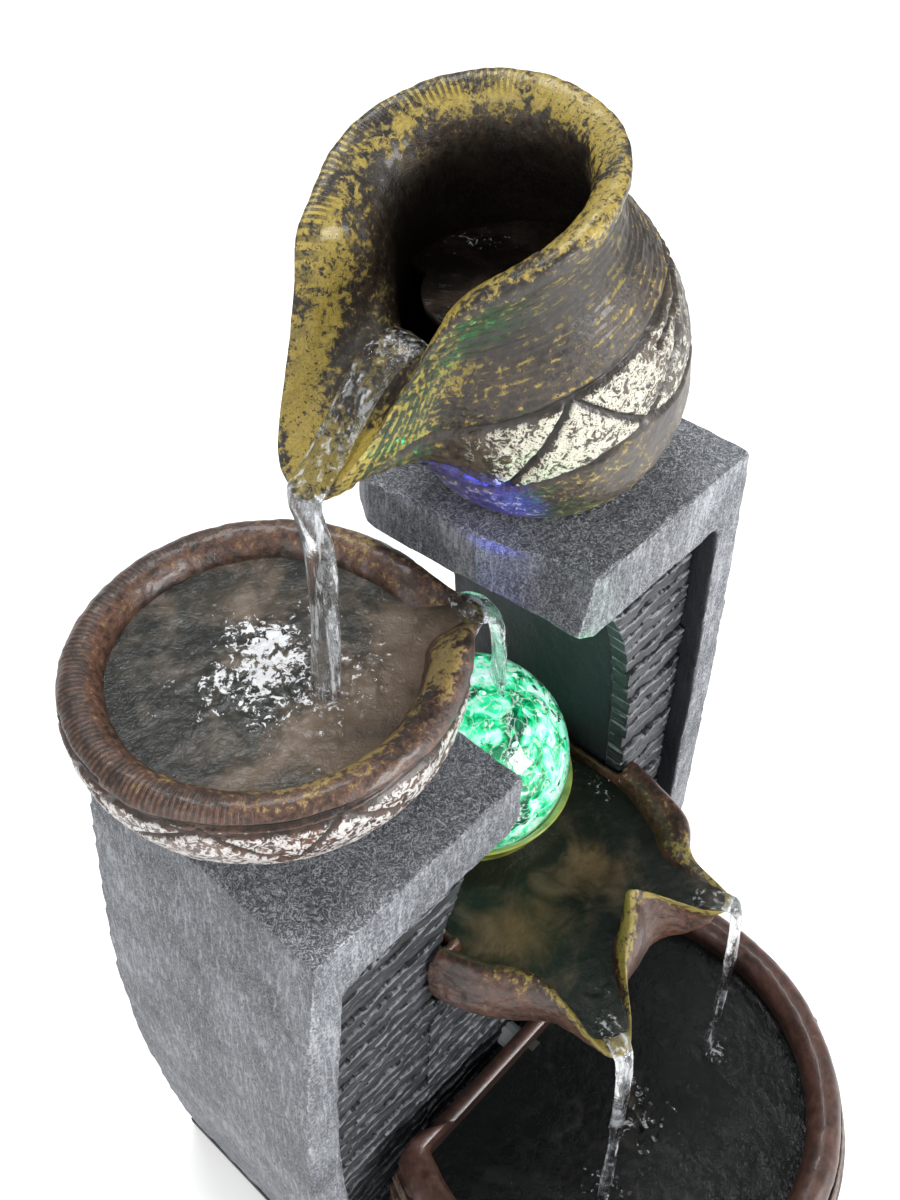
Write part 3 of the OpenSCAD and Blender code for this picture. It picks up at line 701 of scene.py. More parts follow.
@dataclass(frozen=True)
class MurkyWater(Finish):
    """Standing water, clouded, with white froth. Masks: foam, silt."""

    deep: Colour = (0.020, 0.024, 0.022, 1)
    silt: Colour = (0.210, 0.150, 0.100, 1)
    froth: float = 1.0
    mist: float = 0.22

    def paint(self, tree: Tree, shader: bpy.types.Node) -> Wire | None:
        """Dark water with drifting silt and streaks of froth."""
        where = tree.millimetres()
        cloud = tree.noise(where, 9, 4, 0.55, 0.6)
        swirl = tree.noise(where, 2.6, 5, 0.62, 1.6)
        fine = tree.noise(where, 0.9, 4, 0.6, 1.0)
        tone = tree.blend(
            tree.step(tree.mask("silt") + (cloud - 0.5) * 1.5, 0.25, 0.95), self.deep, self.silt
        )
        mist = tree.step(cloud + (swirl - 0.5) * 0.5, 0.45, 0.8)
        tone = tree.blend(mist * self.mist, tone, (0.34, 0.35, 0.35, 1))
        foam = (
            tree.step(tree.mask("foam") + (swirl - 0.5) * 2.3 + (fine - 0.5) * 1.0, 0.66, 0.84) * self.froth
        )
        tone = tree.blend(foam, tone, (0.86, 0.88, 0.90, 1))
        height = swirl * 0.7 + fine * 0.4
        self.set(
            tree, shader, Base_Color=tone, Roughness=0.05 + foam * 0.25, Normal=tree.bump(height, 0.35, 0.7)
        )
        self.set(tree, shader, IOR=1.333)
        return None


@dataclass(frozen=True)
class RunningWater(Finish):
    """Clear falling water with white streaks."""

    streak_length: float = 9.0
    whiteness: float = 0.45

    def paint(self, tree: Tree, shader: bpy.types.Node) -> Wire | None:
        """Clear water; long bubbles drawn out along the fall are white."""
        strands = tree.noise(tree.millimetres((1, 1, self.streak_length)), 1.3, 3, 0.5, 0.5)
        fine = tree.noise(tree.millimetres((1, 1, 3)), 0.7, 3, 0.6, 0.8)
        froth = tree.step(strands + (fine - 0.5) * 0.5, 0.52, 0.7) * self.whiteness
        self.set(
            tree, shader, Roughness=0.03, Transmission_Weight=1.0, IOR=1.333, Base_Color=(0.96, 0.98, 1, 1)
        )
        self.set(tree, shader, Normal=tree.bump(strands + fine * 0.4, 0.35, 0.6))
        white = tree.add("ShaderNodeBsdfPrincipled")
        self.set(
            tree, white, Base_Color=(0.90, 0.93, 0.96, 1), Roughness=0.25, Normal=tree.bump(fine, 0.3, 0.6)
        )
        return tree.out(
            tree.add("ShaderNodeMixShader", None, {0: froth, 1: tree.out(shader), 2: tree.out(white)})
        )


@dataclass(frozen=True)
class ClearGlass(Finish):
    """Clear solid glass with a faintly crazed skin."""

    ior: float = 1.45
    tint: Colour = (0.93, 1.0, 0.97, 1)
    waviness: float = 0.05

    def paint(self, tree: Tree, shader: bpy.types.Node) -> Wire | None:
        """Clear, with a slight wave in the skin."""
        wave = tree.noise(tree.millimetres(), 5, 2)
        self.set(tree, shader, Base_Color=self.tint, Roughness=0.0, Transmission_Weight=1.0, IOR=self.ior)
        self.set(tree, shader, Normal=tree.bump(wave, self.waviness, 0.5))
        return None


@dataclass(frozen=True)
class LitCrackle(Finish):
    """Crackled glass lit from below; mask tint picks each facet's colour."""

    strength: float = 1.0

    def paint(self, tree: Tree, shader: bpy.types.Node) -> Wire | None:
        """Facets in green, white, cyan and shadow, each with fine cracks of light."""
        where = tree.millimetres()
        drift = tree.out(tree.add("ShaderNodeTexNoise", None, {"Vector": where, "Scale": 0.3}), 1)
        warped = tree.vector("ADD", where, tree.scale(drift, 4.0))
        cracks = 1 - tree.step(tree.cells(warped, 3.0, "DISTANCE_TO_EDGE"), 0.0, 0.05)
        bright = tree.step(tree.noise(where, 2.6, 4, 0.65, 1.4), 0.52, 0.62)
        cloud = tree.noise(where, 4, 3, 0.6, 0.8)
        stops = [
            (0.00, (0.002, 0.016, 0.014, 1)), (0.24, (0.000, 0.10, 0.05, 1)), (0.38, (0.004, 0.48, 0.17, 1)),
            (0.50, (0.03, 0.80, 0.40, 1)), (0.62, (0.42, 0.92, 0.78, 1)), (0.76, (0.92, 1.0, 0.98, 1)),
            (1.00, (0.14, 0.36, 0.95, 1)),
        ]
        place = tree.mask("tint") * 0.75 + (cloud - 0.44) * 1.3
        glow = tree.out(tree.add("ShaderNodeValToRGB", {"stops": stops}, {0: place}))
        glow = tree.blend(cracks * 0.45, glow, (0.85, 1.0, 0.95, 1))
        glow = tree.blend(bright * 0.7, glow, (0.92, 1.0, 0.97, 1))
        self.set(
            tree, shader, Base_Color=glow, Emission_Color=glow, Emission_Strength=self.strength,
            Roughness=0.12
        )
        self.set(tree, shader, Normal=tree.bump(cloud + cracks * 0.5, 0.4, 0.7))
        return None


@dataclass(frozen=True)
class TintedCup(Finish):
    """Olive translucent resin."""

    def paint(self, tree: Tree, shader: bpy.types.Node) -> Wire | None:
        """Olive with soft clouds and a little inner glow."""
        cloud = tree.noise(tree.millimetres(), 6, 3)
        grit = tree.noise(tree.millimetres(), 0.8, 3)
        tone = tree.blend(tree.step(cloud, 0.3, 0.7), (0.085, 0.10, 0.016, 1), (0.27, 0.30, 0.055, 1))
        self.set(
            tree, shader, Base_Color=tone, Emission_Color=tone, Emission_Strength=0.35,
            Roughness=0.12 + grit * 0.15
        )
        self.set(tree, shader, Normal=tree.bump(grit, 0.12, 0.5), Coat_Weight=0.6, Coat_Roughness=0.05)
        return None


@dataclass(frozen=True)
class Moulded(Finish):
    """Moulded plastic or rubber with a fine skin."""

    tone: Colour = (0.03, 0.03, 0.033, 1)
    rough: float = 0.45
    grain: float = 0.35
    metal: float = 0.0
    glow: float = 0.0

    def paint(self, tree: Tree, shader: bpy.types.Node) -> Wire | None:
        """One tone, slightly clouded, with a fine grain."""
        grain = tree.noise(tree.millimetres(), self.grain, 3, 0.6)
        cloud = tree.noise(tree.millimetres(), 5, 3)
        faint = tuple(min(1, c * 1.6 + 0.012) for c in self.tone[:3]) + (1,)
        tone = tree.blend(tree.step(cloud + (grain - 0.5) * 0.5, 0.3, 0.8), self.tone, faint)
        self.set(
            tree, shader, Base_Color=tone, Roughness=self.rough + (grain - 0.5) * 0.22, Metallic=self.metal
        )
        self.set(tree, shader, Normal=tree.bump(grain, 0.05, 0.6))
        if self.glow:
            self.set(tree, shader, Emission_Color=tone, Emission_Strength=self.glow)
        return None


class Finishes(Enum):
    """The finishes of the fountain's pieces."""

    STONE = CastStone("cast_stone")
    SLATE = SplitSlate("split_slate")
    JUG = GlazedResin(
        "jug_glaze", deep=(0.014, 0.010, 0.007, 1), body=(0.080, 0.056, 0.036, 1),
        gold=(0.33, 0.245, 0.038, 1), specks=0.95
    )
    BOWL = GlazedResin(
        "bowl_glaze", hatches=200, body=(0.150, 0.070, 0.042, 1), gold=(0.27, 0.195, 0.055, 1),
        pale=(0.62, 0.60, 0.58, 1), specks=0.45
    )
    POOL = GlazedResin(
        "pool_glaze", deep=(0.016, 0.009, 0.006, 1), body=(0.115, 0.048, 0.028, 1),
        gold=(0.235, 0.185, 0.030, 1), specks=0.5
    )
    BASIN = GlazedResin(
        "basin_glaze", deep=(0.040, 0.019, 0.014, 1), body=(0.100, 0.046, 0.034, 1),
        gold=(0.11, 0.088, 0.062, 1),
        grain_size=2.2, specks=0.25, relief=0.14,
    )
    JUG_WATER = MurkyWater(
        "jug_water", deep=(0.010, 0.009, 0.008, 1), silt=(0.040, 0.026, 0.018, 1), froth=0.8, mist=0.05
    )
    BOWL_WATER = MurkyWater(
        "bowl_water", deep=(0.024, 0.026, 0.023, 1), silt=(0.165, 0.118, 0.080, 1), froth=0.8, mist=0.12
    )
    POOL_WATER = MurkyWater(
        "pool_water", deep=(0.012, 0.016, 0.012, 1), silt=(0.120, 0.078, 0.036, 1), froth=0.5, mist=0.06
    )
    BASIN_WATER = MurkyWater(
        "basin_water", deep=(0.006, 0.007, 0.007, 1), silt=(0.060, 0.045, 0.026, 1), froth=0.45, mist=0.03
    )
    STREAM = RunningWater("falling_water")
    SPLASH = RunningWater("splashes", streak_length=1.5, whiteness=0.35)
    GLASS = ClearGlass("ball_glass")
    CRACKLE = LitCrackle("lit_crackle", strength=0.62)
    SHARDS = LitCrackle("lit_shards", strength=0.8)
    CUP = TintedCup("olive_cup")
    LENS = ClearGlass("lens_plastic", ior=1.49, tint=(1, 1, 1, 1))
    LED = Moulded("led_emitter", tone=(0.02, 0.75, 0.30, 1), rough=0.3, glow=2.0)
    WHITE = Moulded("white_plastic", tone=(0.72, 0.72, 0.70, 1), rough=0.35)
    BLACK = Moulded("black_plastic", tone=(0.018, 0.019, 0.022, 1), rough=0.38)
    DIAL = Moulded("dial_plastic", tone=(0.10, 0.11, 0.12, 1), rough=0.4)
    PAD = Moulded("pad_rubber", tone=(0.020, 0.020, 0.021, 1), rough=0.75, grain=0.8)
    CABLE = Moulded("cable_rubber", tone=(0.014, 0.014, 0.015, 1), rough=0.55)
    HOSE = Moulded("hose_rubber", tone=(0.34, 0.37, 0.38, 1), rough=0.3)
    STEEL = Moulded("screw_steel", tone=(0.55, 0.56, 0.58, 1), rough=0.3, metal=1.0)

    def dress(self, piece: bpy.types.Object) -> bpy.types.Object:
        """Gives a piece this finish and nothing else."""
        piece.data.materials.clear()
        piece.data.materials.append(self.value.material())
        return piece


def place(
    piece: bpy.types.Object, finish: Finishes, slot: str, nodes: Sequence[str] = (), body: str = "fountain"
) -> bpy.types.Object:
    """Dresses a finished piece and ties it to the frame.

    Args:
        piece: The piece, at the origin, with its modifiers settled.
        finish: Its finish.
        slot: The record's material slot; not used.
        nodes: The CAD nodes it stands for.
        body: The body it rides on.

    Returns:
        The piece.
    """
    finish.dress(piece)
    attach(piece, body)
    if nodes:
        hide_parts(*nodes)
    LOG.info("%s: %d faces on %s", piece.name, len(piece.data.polygons), body)
    return piece


# ---- the frame's own sizes ----

FLOOR_Z, DECK_Z = 3.5, 14.5
BASE_X0, BASE_X1 = -56.0, 66.0
FRONT_Y, CORE_Y, SLATE_T = -9.0, -1.0, 3.0
LOW_TOP, TALL_TOP, SLAB_T = 145.0, 180.0, 14.0
LOW_BACK, TALL_BACK = 48.0, 41.0
POOL_BACK = 38.0
POST_W = 8.0
SEAM = 0.15
POOL_X, POOL_Z = 6.5, 84.0
BALL_X, BALL_Y, BALL_Z = 11.4, 16.9, 114.0
BOWL_X, BOWL_Y = -25.7, 29.3
JUG_X, JUG_Y = 23.9, 14.6
BASIN_X, BASIN_Y = 4.7, -31.3


@dataclass(frozen=True)
class Curve:
    """x at each height of one side of a pillar: a leaning line, a bow and a flare under the slab."""

    foot: float
    top: float
    low: float
    high: float
    bow: float = 0.0
    flare: float = 0.0
    fade: float = 100.0
    under: float = 0.0

    def at(self, z: float | np.ndarray) -> float | np.ndarray:
        """x at height z."""
        t = (z - self.low) / (self.high - self.low)
        straight = self.foot + (self.top - self.foot) * t + self.bow * np.sin(np.pi * t)
        return straight + self.flare * np.exp((z - self.under) / self.fade)

    def moved(self, by: float) -> "Curve":
        """The same curve further to the right."""
        return Curve(
            self.foot + by, self.top + by, self.low, self.high, self.bow, self.flare, self.fade, self.under
        )


LOW_UNDER, TALL_UNDER = LOW_TOP - SLAB_T, TALL_TOP - SLAB_T
LOW_OUT = Curve(BASE_X0 + 0.5, BASE_X0 + 4, FLOOR_Z, LOW_TOP, bow=-6)
LOW_IN = Curve(BASE_X0 + 30.5, BASE_X0 + 30.5, FLOOR_Z, LOW_TOP, flare=15, fade=26, under=LOW_UNDER)
TALL_OUT = Curve(BASE_X1 - 10, BASE_X1 - 12, DECK_Z, TALL_TOP, bow=3.5)
TALL_IN = Curve(BASE_X1 - 31.5, BASE_X1 - 31.5, DECK_Z, TALL_TOP, flare=-17, fade=17, under=TALL_UNDER)
LOW_END, TALL_END = BASE_X0 + 52.5, BASE_X1 - 55


def between(left: Curve, right: Curve, low: float, high: float, steps: int = 24) -> list[tuple[float, float]]:
    """A closed outline between two curves, turning left as seen from the front."""
    zs = np.linspace(low, high, steps + 1)
    return [(float(right.at(z)), float(z)) for z in zs] + [(float(left.at(z)), float(z)) for z in zs[::-1]]


@dataclass
class Masonry:
    """Cast stone: solids made one, their edges worn and their faces pitted."""

    name: str
    solids: list[tuple[np.ndarray, list[list[int]]]] = field(default_factory=list)
    square: float = 0.8
    wear: float = 1.0
    seed: int = 1
    # Painted shade: faces that turn to this side along X (-1 or 1), below the height after it, are darkened
    shade_side: float = 0.0
    shade_top: float = 0.0

    def add(self, outline: Rows, low: float, high: float) -> None:
        """Adds a solid that stands between two values of y."""
        self.solids.append(prism(outline, low, high))

    def loft(self, plans: Sequence[Rows], heights: Sequence[float]) -> None:
        """Adds a solid from plans at rising heights, each with as many corners."""
        n = len(plans[0])
        points = np.array([(x, y, z) for plan, z in zip(plans, heights) for x, y in plan])
        faces: list[list[int]] = [
            list(range(n - 1, -1, -1)), list(range((len(plans) - 1) * n, len(plans) * n))
        ]
        for ring in range(len(plans) - 1):
            low = ring * n
            faces += [[low + k, low + (k + 1) % n, low + n + (k + 1) % n, low + n + k] for k in range(n)]
        self.solids.append((points, faces))

    def build(self, source: bpy.types.Object | None = None) -> bpy.types.Object:
        """Makes the one worn skin.

        Args:
            source: A CAD node to copy instead of the solids.

        Returns:
            The finished mesh, with the masks edge and sunk.
        """
        if source is not None:
            piece = bpy.data.objects.new(self.name, source.data.copy())
            bpy.context.scene.collection.objects.link(piece)
            mesh = bmesh.new()
            mesh.from_mesh(piece.data)
            bmesh.ops.remove_doubles(mesh, verts=mesh.verts, dist=1e-6)
            mesh.to_mesh(piece.data)
            mesh.free()
        else:
            piece = join_solids(self.name, self.solids)
        return self.weather(Skin(regrid(piece, self.square)))

    def weather(self, skin: Skin) -> bpy.types.Object:
        """Rounds and chips the edges, pits the faces, paints shade into the hollows and onto the faces below
        the slab that turn to the gap, and stores the masks.
        """
        calm = skin.relaxed(skin.points, 9)
        bulge = np.einsum("ij,ij->i", skin.points - calm, skin.normals)
        chips = ease(Grain.layers(skin.points, 4.2, 3, self.seed), -0.25, 0.45)
        edge = ease(bulge, 0.10, 0.75)
        skin.points = skin.points + (calm - skin.points) * (edge * (0.25 + 0.75 * chips) * self.wear)[:, None]
        upright = 1 - ease(np.abs(skin.normals[:, 2]), 0.4, 0.8)
        waves = Grain.layers(skin.points, 16, 2, self.seed + 5)
        strokes = Grain.layers(skin.points, (2.0, 2.0, 13), 3, self.seed + 9) * upright
        rough = Grain.layers(skin.points, 3.0, 3, self.seed + 13)
        depth = 0.30 + 0.22 * waves + 0.20 * strokes + 0.16 * rough
        skin.points = skin.points - skin.normals * np.maximum(depth, 0.02)[:, None]
        # Painted shade: the faces that turn to the gap between the pillars, below the slab, and the hollows
        side_shade = ease(skin.normals[:, 0] * self.shade_side, 0.3, 0.7) * (
            1 - ease(skin.points[:, 2], self.shade_top - 2, self.shade_top)
        )
        painted_shade = np.maximum(ease(-bulge, 0.12, 0.7) * 0.8, side_shade)
        return skin.store({"edge": edge * (0.45 + 0.55 * chips), "painted_shade": painted_shade})


@dataclass
class Pillars:
    """The low pillar, the tall pillar, the wall between them, the plinth and the hatch."""

    nodes: dict[str, bpy.types.Object]

    def low(self) -> bpy.types.Object:
        """The low pillar: leg, post and slab."""
        stone = Masonry("left_pillar_stone", seed=3, shade_side=1, shade_top=LOW_UNDER)
        stone.add(between(LOW_OUT, LOW_IN, FLOOR_Z, LOW_UNDER + 1), CORE_Y, LOW_BACK)
        stone.add(between(LOW_OUT, LOW_OUT.moved(POST_W), FLOOR_Z, LOW_UNDER + 1), FRONT_Y, LOW_BACK)
        nose = 2.5
        stone.add(
            [
                (LOW_OUT.at(LOW_UNDER), LOW_UNDER), (LOW_END - nose, LOW_UNDER), (LOW_END, LOW_UNDER + nose),
                (LOW_END, LOW_TOP), (LOW_OUT.at(LOW_TOP), LOW_TOP),
            ],
            FRONT_Y, LOW_BACK,
        )
        return stone.build()

    def tall(self) -> bpy.types.Object:
        """The tall pillar, whose slab widens towards the back and leans out downwards."""
        stone = Masonry("right_pillar_stone", seed=8, shade_side=-1, shade_top=TALL_UNDER)
        stone.add(between(TALL_IN, TALL_OUT, DECK_Z, TALL_UNDER + 1), CORE_Y, TALL_BACK)
        stone.add(between(TALL_OUT.moved(-POST_W), TALL_OUT, DECK_Z, TALL_UNDER + 1), FRONT_Y, TALL_BACK)

        def plan(front: float, side: float, out: float) -> list[tuple[float, float]]:
            """The slab's outline, from the front left corner to the right."""
            return [
                (front, FRONT_Y), (out, FRONT_Y), (out, TALL_BACK), (side + 4, TALL_BACK),
                (side, TALL_BACK - 6),
                (side + 2, FRONT_Y + 20), (front, FRONT_Y + 6),
            ]

        stone.loft(
            [
                plan(TALL_END + 1, TALL_END + 1, TALL_OUT.at(TALL_UNDER)),
                plan(TALL_END - 3.5, TALL_END - 7, TALL_OUT.at(TALL_UNDER + 2.5)),
                plan(TALL_END, TALL_END - 7, TALL_OUT.at(TALL_TOP)),
            ],
            [TALL_UNDER, TALL_UNDER + 2.5, TALL_TOP],
        )
        return stone.build()

    def wall(self) -> bpy.types.Object:
        """The wall between the pillars."""
        stone = Masonry("centre_wall_stone", seed=12)
        stone.add(between(LOW_IN, TALL_IN, DECK_Z, POOL_Z), CORE_Y, POOL_BACK)
        return stone.build()

    def build(self) -> None:
        """Makes and places all of the stone."""
        place(self.low(), Finishes.STONE, "grey_resin", ["left_pillar"])
        place(self.tall(), Finishes.STONE, "grey_resin", ["right_pillar"])
        place(self.wall(), Finishes.STONE, "grey_resin", ["centre_wall"])
        plinth = Masonry("base_plinth_stone", square=0.85, seed=17).build(self.nodes["base_plinth"])
        place(plinth, Finishes.STONE, "grey_resin", ["base_plinth"])
        hatch = Masonry("rear_hatch_stone", square=0.5, wear=0.6, seed=23).build(self.nodes["rear_hatch"])
        place(hatch, Finishes.STONE, "grey_resin", ["rear_hatch"])


# ---- geometry node pieces ----


@dataclass
class Generator:
    """A geometry node tree with named inputs, turned into a plain mesh."""

    name: str
    tree: Tree = field(init=False)
    group: bpy.types.NodeTree = field(init=False)
    values: dict[str, object] = field(default_factory=dict, init=False)

    def __post_init__(self) -> None:
        """Makes the empty tree with its geometry sockets."""
        self.group = bpy.data.node_groups.new(self.name, "GeometryNodeTree")
        self.tree = Tree(self.group)
        self.group.interface.new_socket("Geometry", in_out="INPUT", socket_type="NodeSocketGeometry")
        self.group.interface.new_socket("Geometry", in_out="OUTPUT", socket_type="NodeSocketGeometry")
        self.entry = self.tree.add("NodeGroupInput")

    def number(self, name: str, value: float) -> Wire:
        """A named input for a size.

        Args:
            name: What the modifier shows.
            value: The value this piece uses.

        Returns:
            The wire from the group's input.
        """
        kind = "NodeSocketInt" if isinstance(value, int) else "NodeSocketFloat"
        item = self.group.interface.new_socket(name, in_out="INPUT", socket_type=kind)
        self.values[item.identifier] = value
        return self.tree.out(self.entry, name)

    def geometry(self) -> Wire:
        """The geometry of the object that carries the modifier."""
        return self.tree.out(self.entry, "Geometry")

    def finish(
        self, geometry: Wire, finish: Finishes, base: bpy.types.Object | None = None
    ) -> bpy.types.Object:
        """Ends the tree, sets its inputs and makes a plain mesh.

        Args:
            geometry: What the tree has made.
            finish: The finish for the Set Material node.
            base: The object whose points the tree works on; a new empty one if None.

        Returns:
            The piece, without modifiers.
        """
        real = self.tree.add("GeometryNodeRealizeInstances", None, {0: geometry})
        dressed = self.tree.add("GeometryNodeSetMaterial", None, {0: self.tree.out(real)})
        dressed.inputs["Material"].default_value = finish.value.material()
        ending = self.tree.add("NodeGroupOutput")
        self.group.links.new(dressed.outputs[0], ending.inputs[0])
        piece = base
        if piece is None:
            piece = bpy.data.objects.new(self.name, bpy.data.meshes.new(self.name))
            bpy.context.scene.collection.objects.link(piece)
        modifier = piece.modifiers.new(self.name, "NODES")
        modifier.node_group = self.group
        for identifier, value in self.values.items():
            modifier[identifier] = value
        return settle(piece)


@dataclass
class SlatePanel:
    """Courses of split slate between two curves, made by geometry nodes."""

    name: str
    left: Curve
    right: Curve
    low: float
    high: float
    courses: int
    columns: int
    seed: int

    def edge(self, maker: Generator, side: str, curve: Curve, z: Wire) -> Wire:
        """The x of one side at height z, from named inputs."""
        tree = maker.tree
        sizes = {
            key: maker.number(f"{side} {key}", float(value))
            for key, value in (
                ("foot", curve.foot), ("lean", curve.top - curve.foot), ("bow", curve.bow),
                ("flare", curve.flare),
                ("fade", curve.fade), ("under", curve.under), ("low", curve.low),
                ("height", curve.high - curve.low),
            )
        }
        t = (z - sizes["low"]) / sizes["height"]
        bowed = sizes["foot"] + sizes["lean"] * t + sizes["bow"] * tree.math("SINE", t * math.pi)
        return bowed + sizes["flare"] * tree.math("EXPONENT", (z - sizes["under"]) / sizes["fade"])

    def build(self) -> bpy.types.Object:
        """The panel as a closed slab with a broken front."""
        maker = Generator(self.name)
        tree = maker.tree
        low, high = maker.number("Low", self.low), maker.number("High", self.high)
        courses = maker.number("Courses", float(self.courses))
        back, thick = maker.number("Back", CORE_Y), maker.number("Thickness", SLATE_T)
        proud = maker.number("Proud", 1.3)
        seed = maker.number("Seed", float(self.seed))
        rows = int((self.high - self.low) / 0.42)
        grid = tree.add("GeometryNodeMeshGrid", None, {0: 1.0, 1: 1.0, 2: self.columns, 3: rows})
        u, v, _ = tree.split(tree.out(tree.add("GeometryNodeInputPosition")))
        stored = tree.out(grid)
        for key, value in (("across", u + 0.5), ("climb", v + 0.5)):
            stored = tree.stored(stored, key, value)
        across, climb = (
            tree.out(tree.add("GeometryNodeInputNamedAttribute", {"data_type": "FLOAT"}, {0: key}))
            for key in ("across", "climb")
        )
        z = low + climb * (high - low)
        left = self.edge(maker, "Left", self.left, z)
        right = self.edge(maker, "Right", self.right, z)
        x = left + across * (right - left)
        flat = tree.out(
            tree.add("GeometryNodeSetPosition", None, {0: stored, 2: self._point(tree, x, back, z)})
        )
        # Each course has its own depth, and its joints wander
        wander = tree.noise(tree.combine(x, seed, z * 0.35), 7.0, 2) - 0.5
        height = climb * courses + wander * 0.9
        row = tree.math("FLOOR", height)
        part = height - row
        depth = tree.out(
            tree.add(
                "ShaderNodeTexWhiteNoise", {"noise_dimensions": "2D"},
                {"Vector": tree.combine(row, seed, 0.0)}
            )
        )
        split = tree.noise(tree.combine(x, row * 17.3, seed), 9.0, 2)
        flakes = tree.noise(tree.combine(x * 0.35, z, seed), 1.1, 4, 0.6)
        gap = 1 - tree.step(part, 0.0, 0.16)
        lip = tree.step(part, 0.55, 0.95)
        stand = (
            depth * 0.55 + tree.step(split, 0.42, 0.6) * 0.3 + (flakes - 0.5) * 0.55 + lip * 0.12 - gap * 0.75
        )
        y = back - thick - proud * tree.math("MAXIMUM", tree.math("MINIMUM", stand, 1.0), -0.6)
        for key, value in (("gap", gap), ("lip", lip)):
            flat = tree.stored(flat, key, value)
        pulled = tree.add(
            "GeometryNodeExtrudeMesh", {"mode": "FACES"},
            {0: flat, 2: tree.combine(0.0, -1.0, 0.0), 3: SLATE_T * MM, 4: False}
        )
        front = tree.add(
            "GeometryNodeSetPosition", None,
            {0: tree.out(pulled), 1: tree.out(pulled, "Top"), 2: self._point(tree, x, y, z)},
        )
        flipped = tree.out(tree.add("GeometryNodeFlipFaces", None, {0: flat}))
        joined = tree.add("GeometryNodeJoinGeometry")
        for part_wire in (tree.out(front), flipped):
            tree.nodes.links.new(part_wire.socket, joined.inputs[0])
        welded = tree.out(
            tree.add("GeometryNodeMergeByDistance", None, {0: tree.out(joined), "Distance": 1e-6})
        )
        return maker.finish(welded, Finishes.SLATE)

    @staticmethod
    def _point(tree: Tree, x: Wire, y: Wire, z: Wire) -> Wire:
        """A place in metres from three sizes in millimetres."""
        return tree.vector("MULTIPLY", tree.combine(x, y, z), (MM, MM, MM))


@dataclass
class ScrewSet:
    """Pan-head screws with a cross recess, one on each point."""

    name: str
    points: Rows
    turn: tuple[float, float, float]
    radius: float = 2.6
    height: float = 1.2

    def build(self) -> bpy.types.Object:
        """The screws as one mesh."""
        base = make_piece(self.name, np.array(self.points, dtype=float), [])
        maker = Generator(self.name)
        tree = maker.tree
        radius, height = maker.number("Head radius", self.radius * MM), maker.number(
            "Head height", self.height * MM
        )
        turn = [maker.number(f"Turn {axis}", angle) for axis, angle in zip("XYZ", self.turn)]
        shell = tree.add(
            "GeometryNodeMeshCylinder", {"fill_type": "NGON"}, {0: 40, 1: 4, 2: 4, 3: radius, 4: height}
        )
        x, y, z = tree.split(tree.out(tree.add("GeometryNodeInputPosition")))
        out = tree.math("SQRT", x * x + y * y) / radius
        upper = tree.step(z / height, -0.1, 0.5)
        crown = tree.combine(
            x * (1 - upper * 0.14), y * (1 - upper * 0.14), z - upper * out * out * height * 0.32
        )
        head = tree.out(tree.add("GeometryNodeSetPosition", None, {0: tree.out(shell), 2: crown}))
        bars = tree.add("GeometryNodeJoinGeometry")
        for long_x in (True, False):
            size = tree.combine(
                radius * (1.1 if long_x else 0.26), radius * (0.26 if long_x else 1.1), height * 0.9
            )
            bar = tree.add("GeometryNodeMeshCube", None, {0: size})
            moved = tree.add(
                "GeometryNodeTransform", None,
                {0: tree.out(bar), "Translation": tree.combine(0.0, 0.0, height * 0.5)}
            )
            tree.nodes.links.new(moved.outputs[0], bars.inputs[0])
        cut = tree.add("GeometryNodeMeshBoolean", {"operation": "DIFFERENCE"}, {0: head, 1: tree.out(bars)})
        copies = tree.add(
            "GeometryNodeInstanceOnPoints", None,
            {0: maker.geometry(), 2: tree.out(cut), "Rotation": tree.combine(*turn)},
        )
        piece = maker.finish(tree.out(copies), Finishes.STEEL, base)
        flat = [polygon for polygon in piece.data.polygons if polygon.normal.length]
        for polygon in flat:
            polygon.use_smooth = False
        return piece


@dataclass
class Spray:
    """Loose drops of water near where a stream lands."""

    name: str
    centre: tuple[float, float, float]
    spread: tuple[float, float, float]
    count: int
    radius: float
    seed: int

    def build(self) -> bpy.types.Object:
        """The drops as one mesh."""
        maker = Generator(self.name)
        tree = maker.tree
        count, seed = maker.number("Count", self.count), maker.number("Seed", self.seed)
        radius = maker.number("Radius", self.radius * MM)
        middle = tree.combine(*[maker.number(f"Centre {a}", c * MM) for a, c in zip("XYZ", self.centre)])
        width = tree.combine(*[maker.number(f"Spread {a}", s * MM) for a, s in zip("XYZ", self.spread)])
        where = tree.add("FunctionNodeRandomValue", {"data_type": "FLOAT_VECTOR"}, {"Seed": seed})
        where.inputs[0].default_value, where.inputs[1].default_value = (-1, -1, 0), (1, 1, 1)
        spot = tree.vector("ADD", middle, tree.vector("MULTIPLY", tree.out(where), width))
        points = tree.add("GeometryNodePoints", None, {0: count, 1: spot})
        drop = tree.add("GeometryNodeMeshIcoSphere", None, {0: radius, 1: 2})
        sizes = tree.add("FunctionNodeRandomValue", {"data_type": "FLOAT_VECTOR"}, {"Seed": seed + 1})
        sizes.inputs[0].default_value, sizes.inputs[1].default_value = (0.35, 0.35, 0.3), (1.0, 1.1, 1.3)
        drops = tree.add(
            "GeometryNodeInstanceOnPoints", None,
            {0: tree.out(points), 2: tree.out(drop), "Scale": tree.out(sizes)}
        )
        piece = maker.finish(tree.out(drops), Finishes.SPLASH)
        piece.data.shade_smooth()
        return piece


# ---- vessels ----


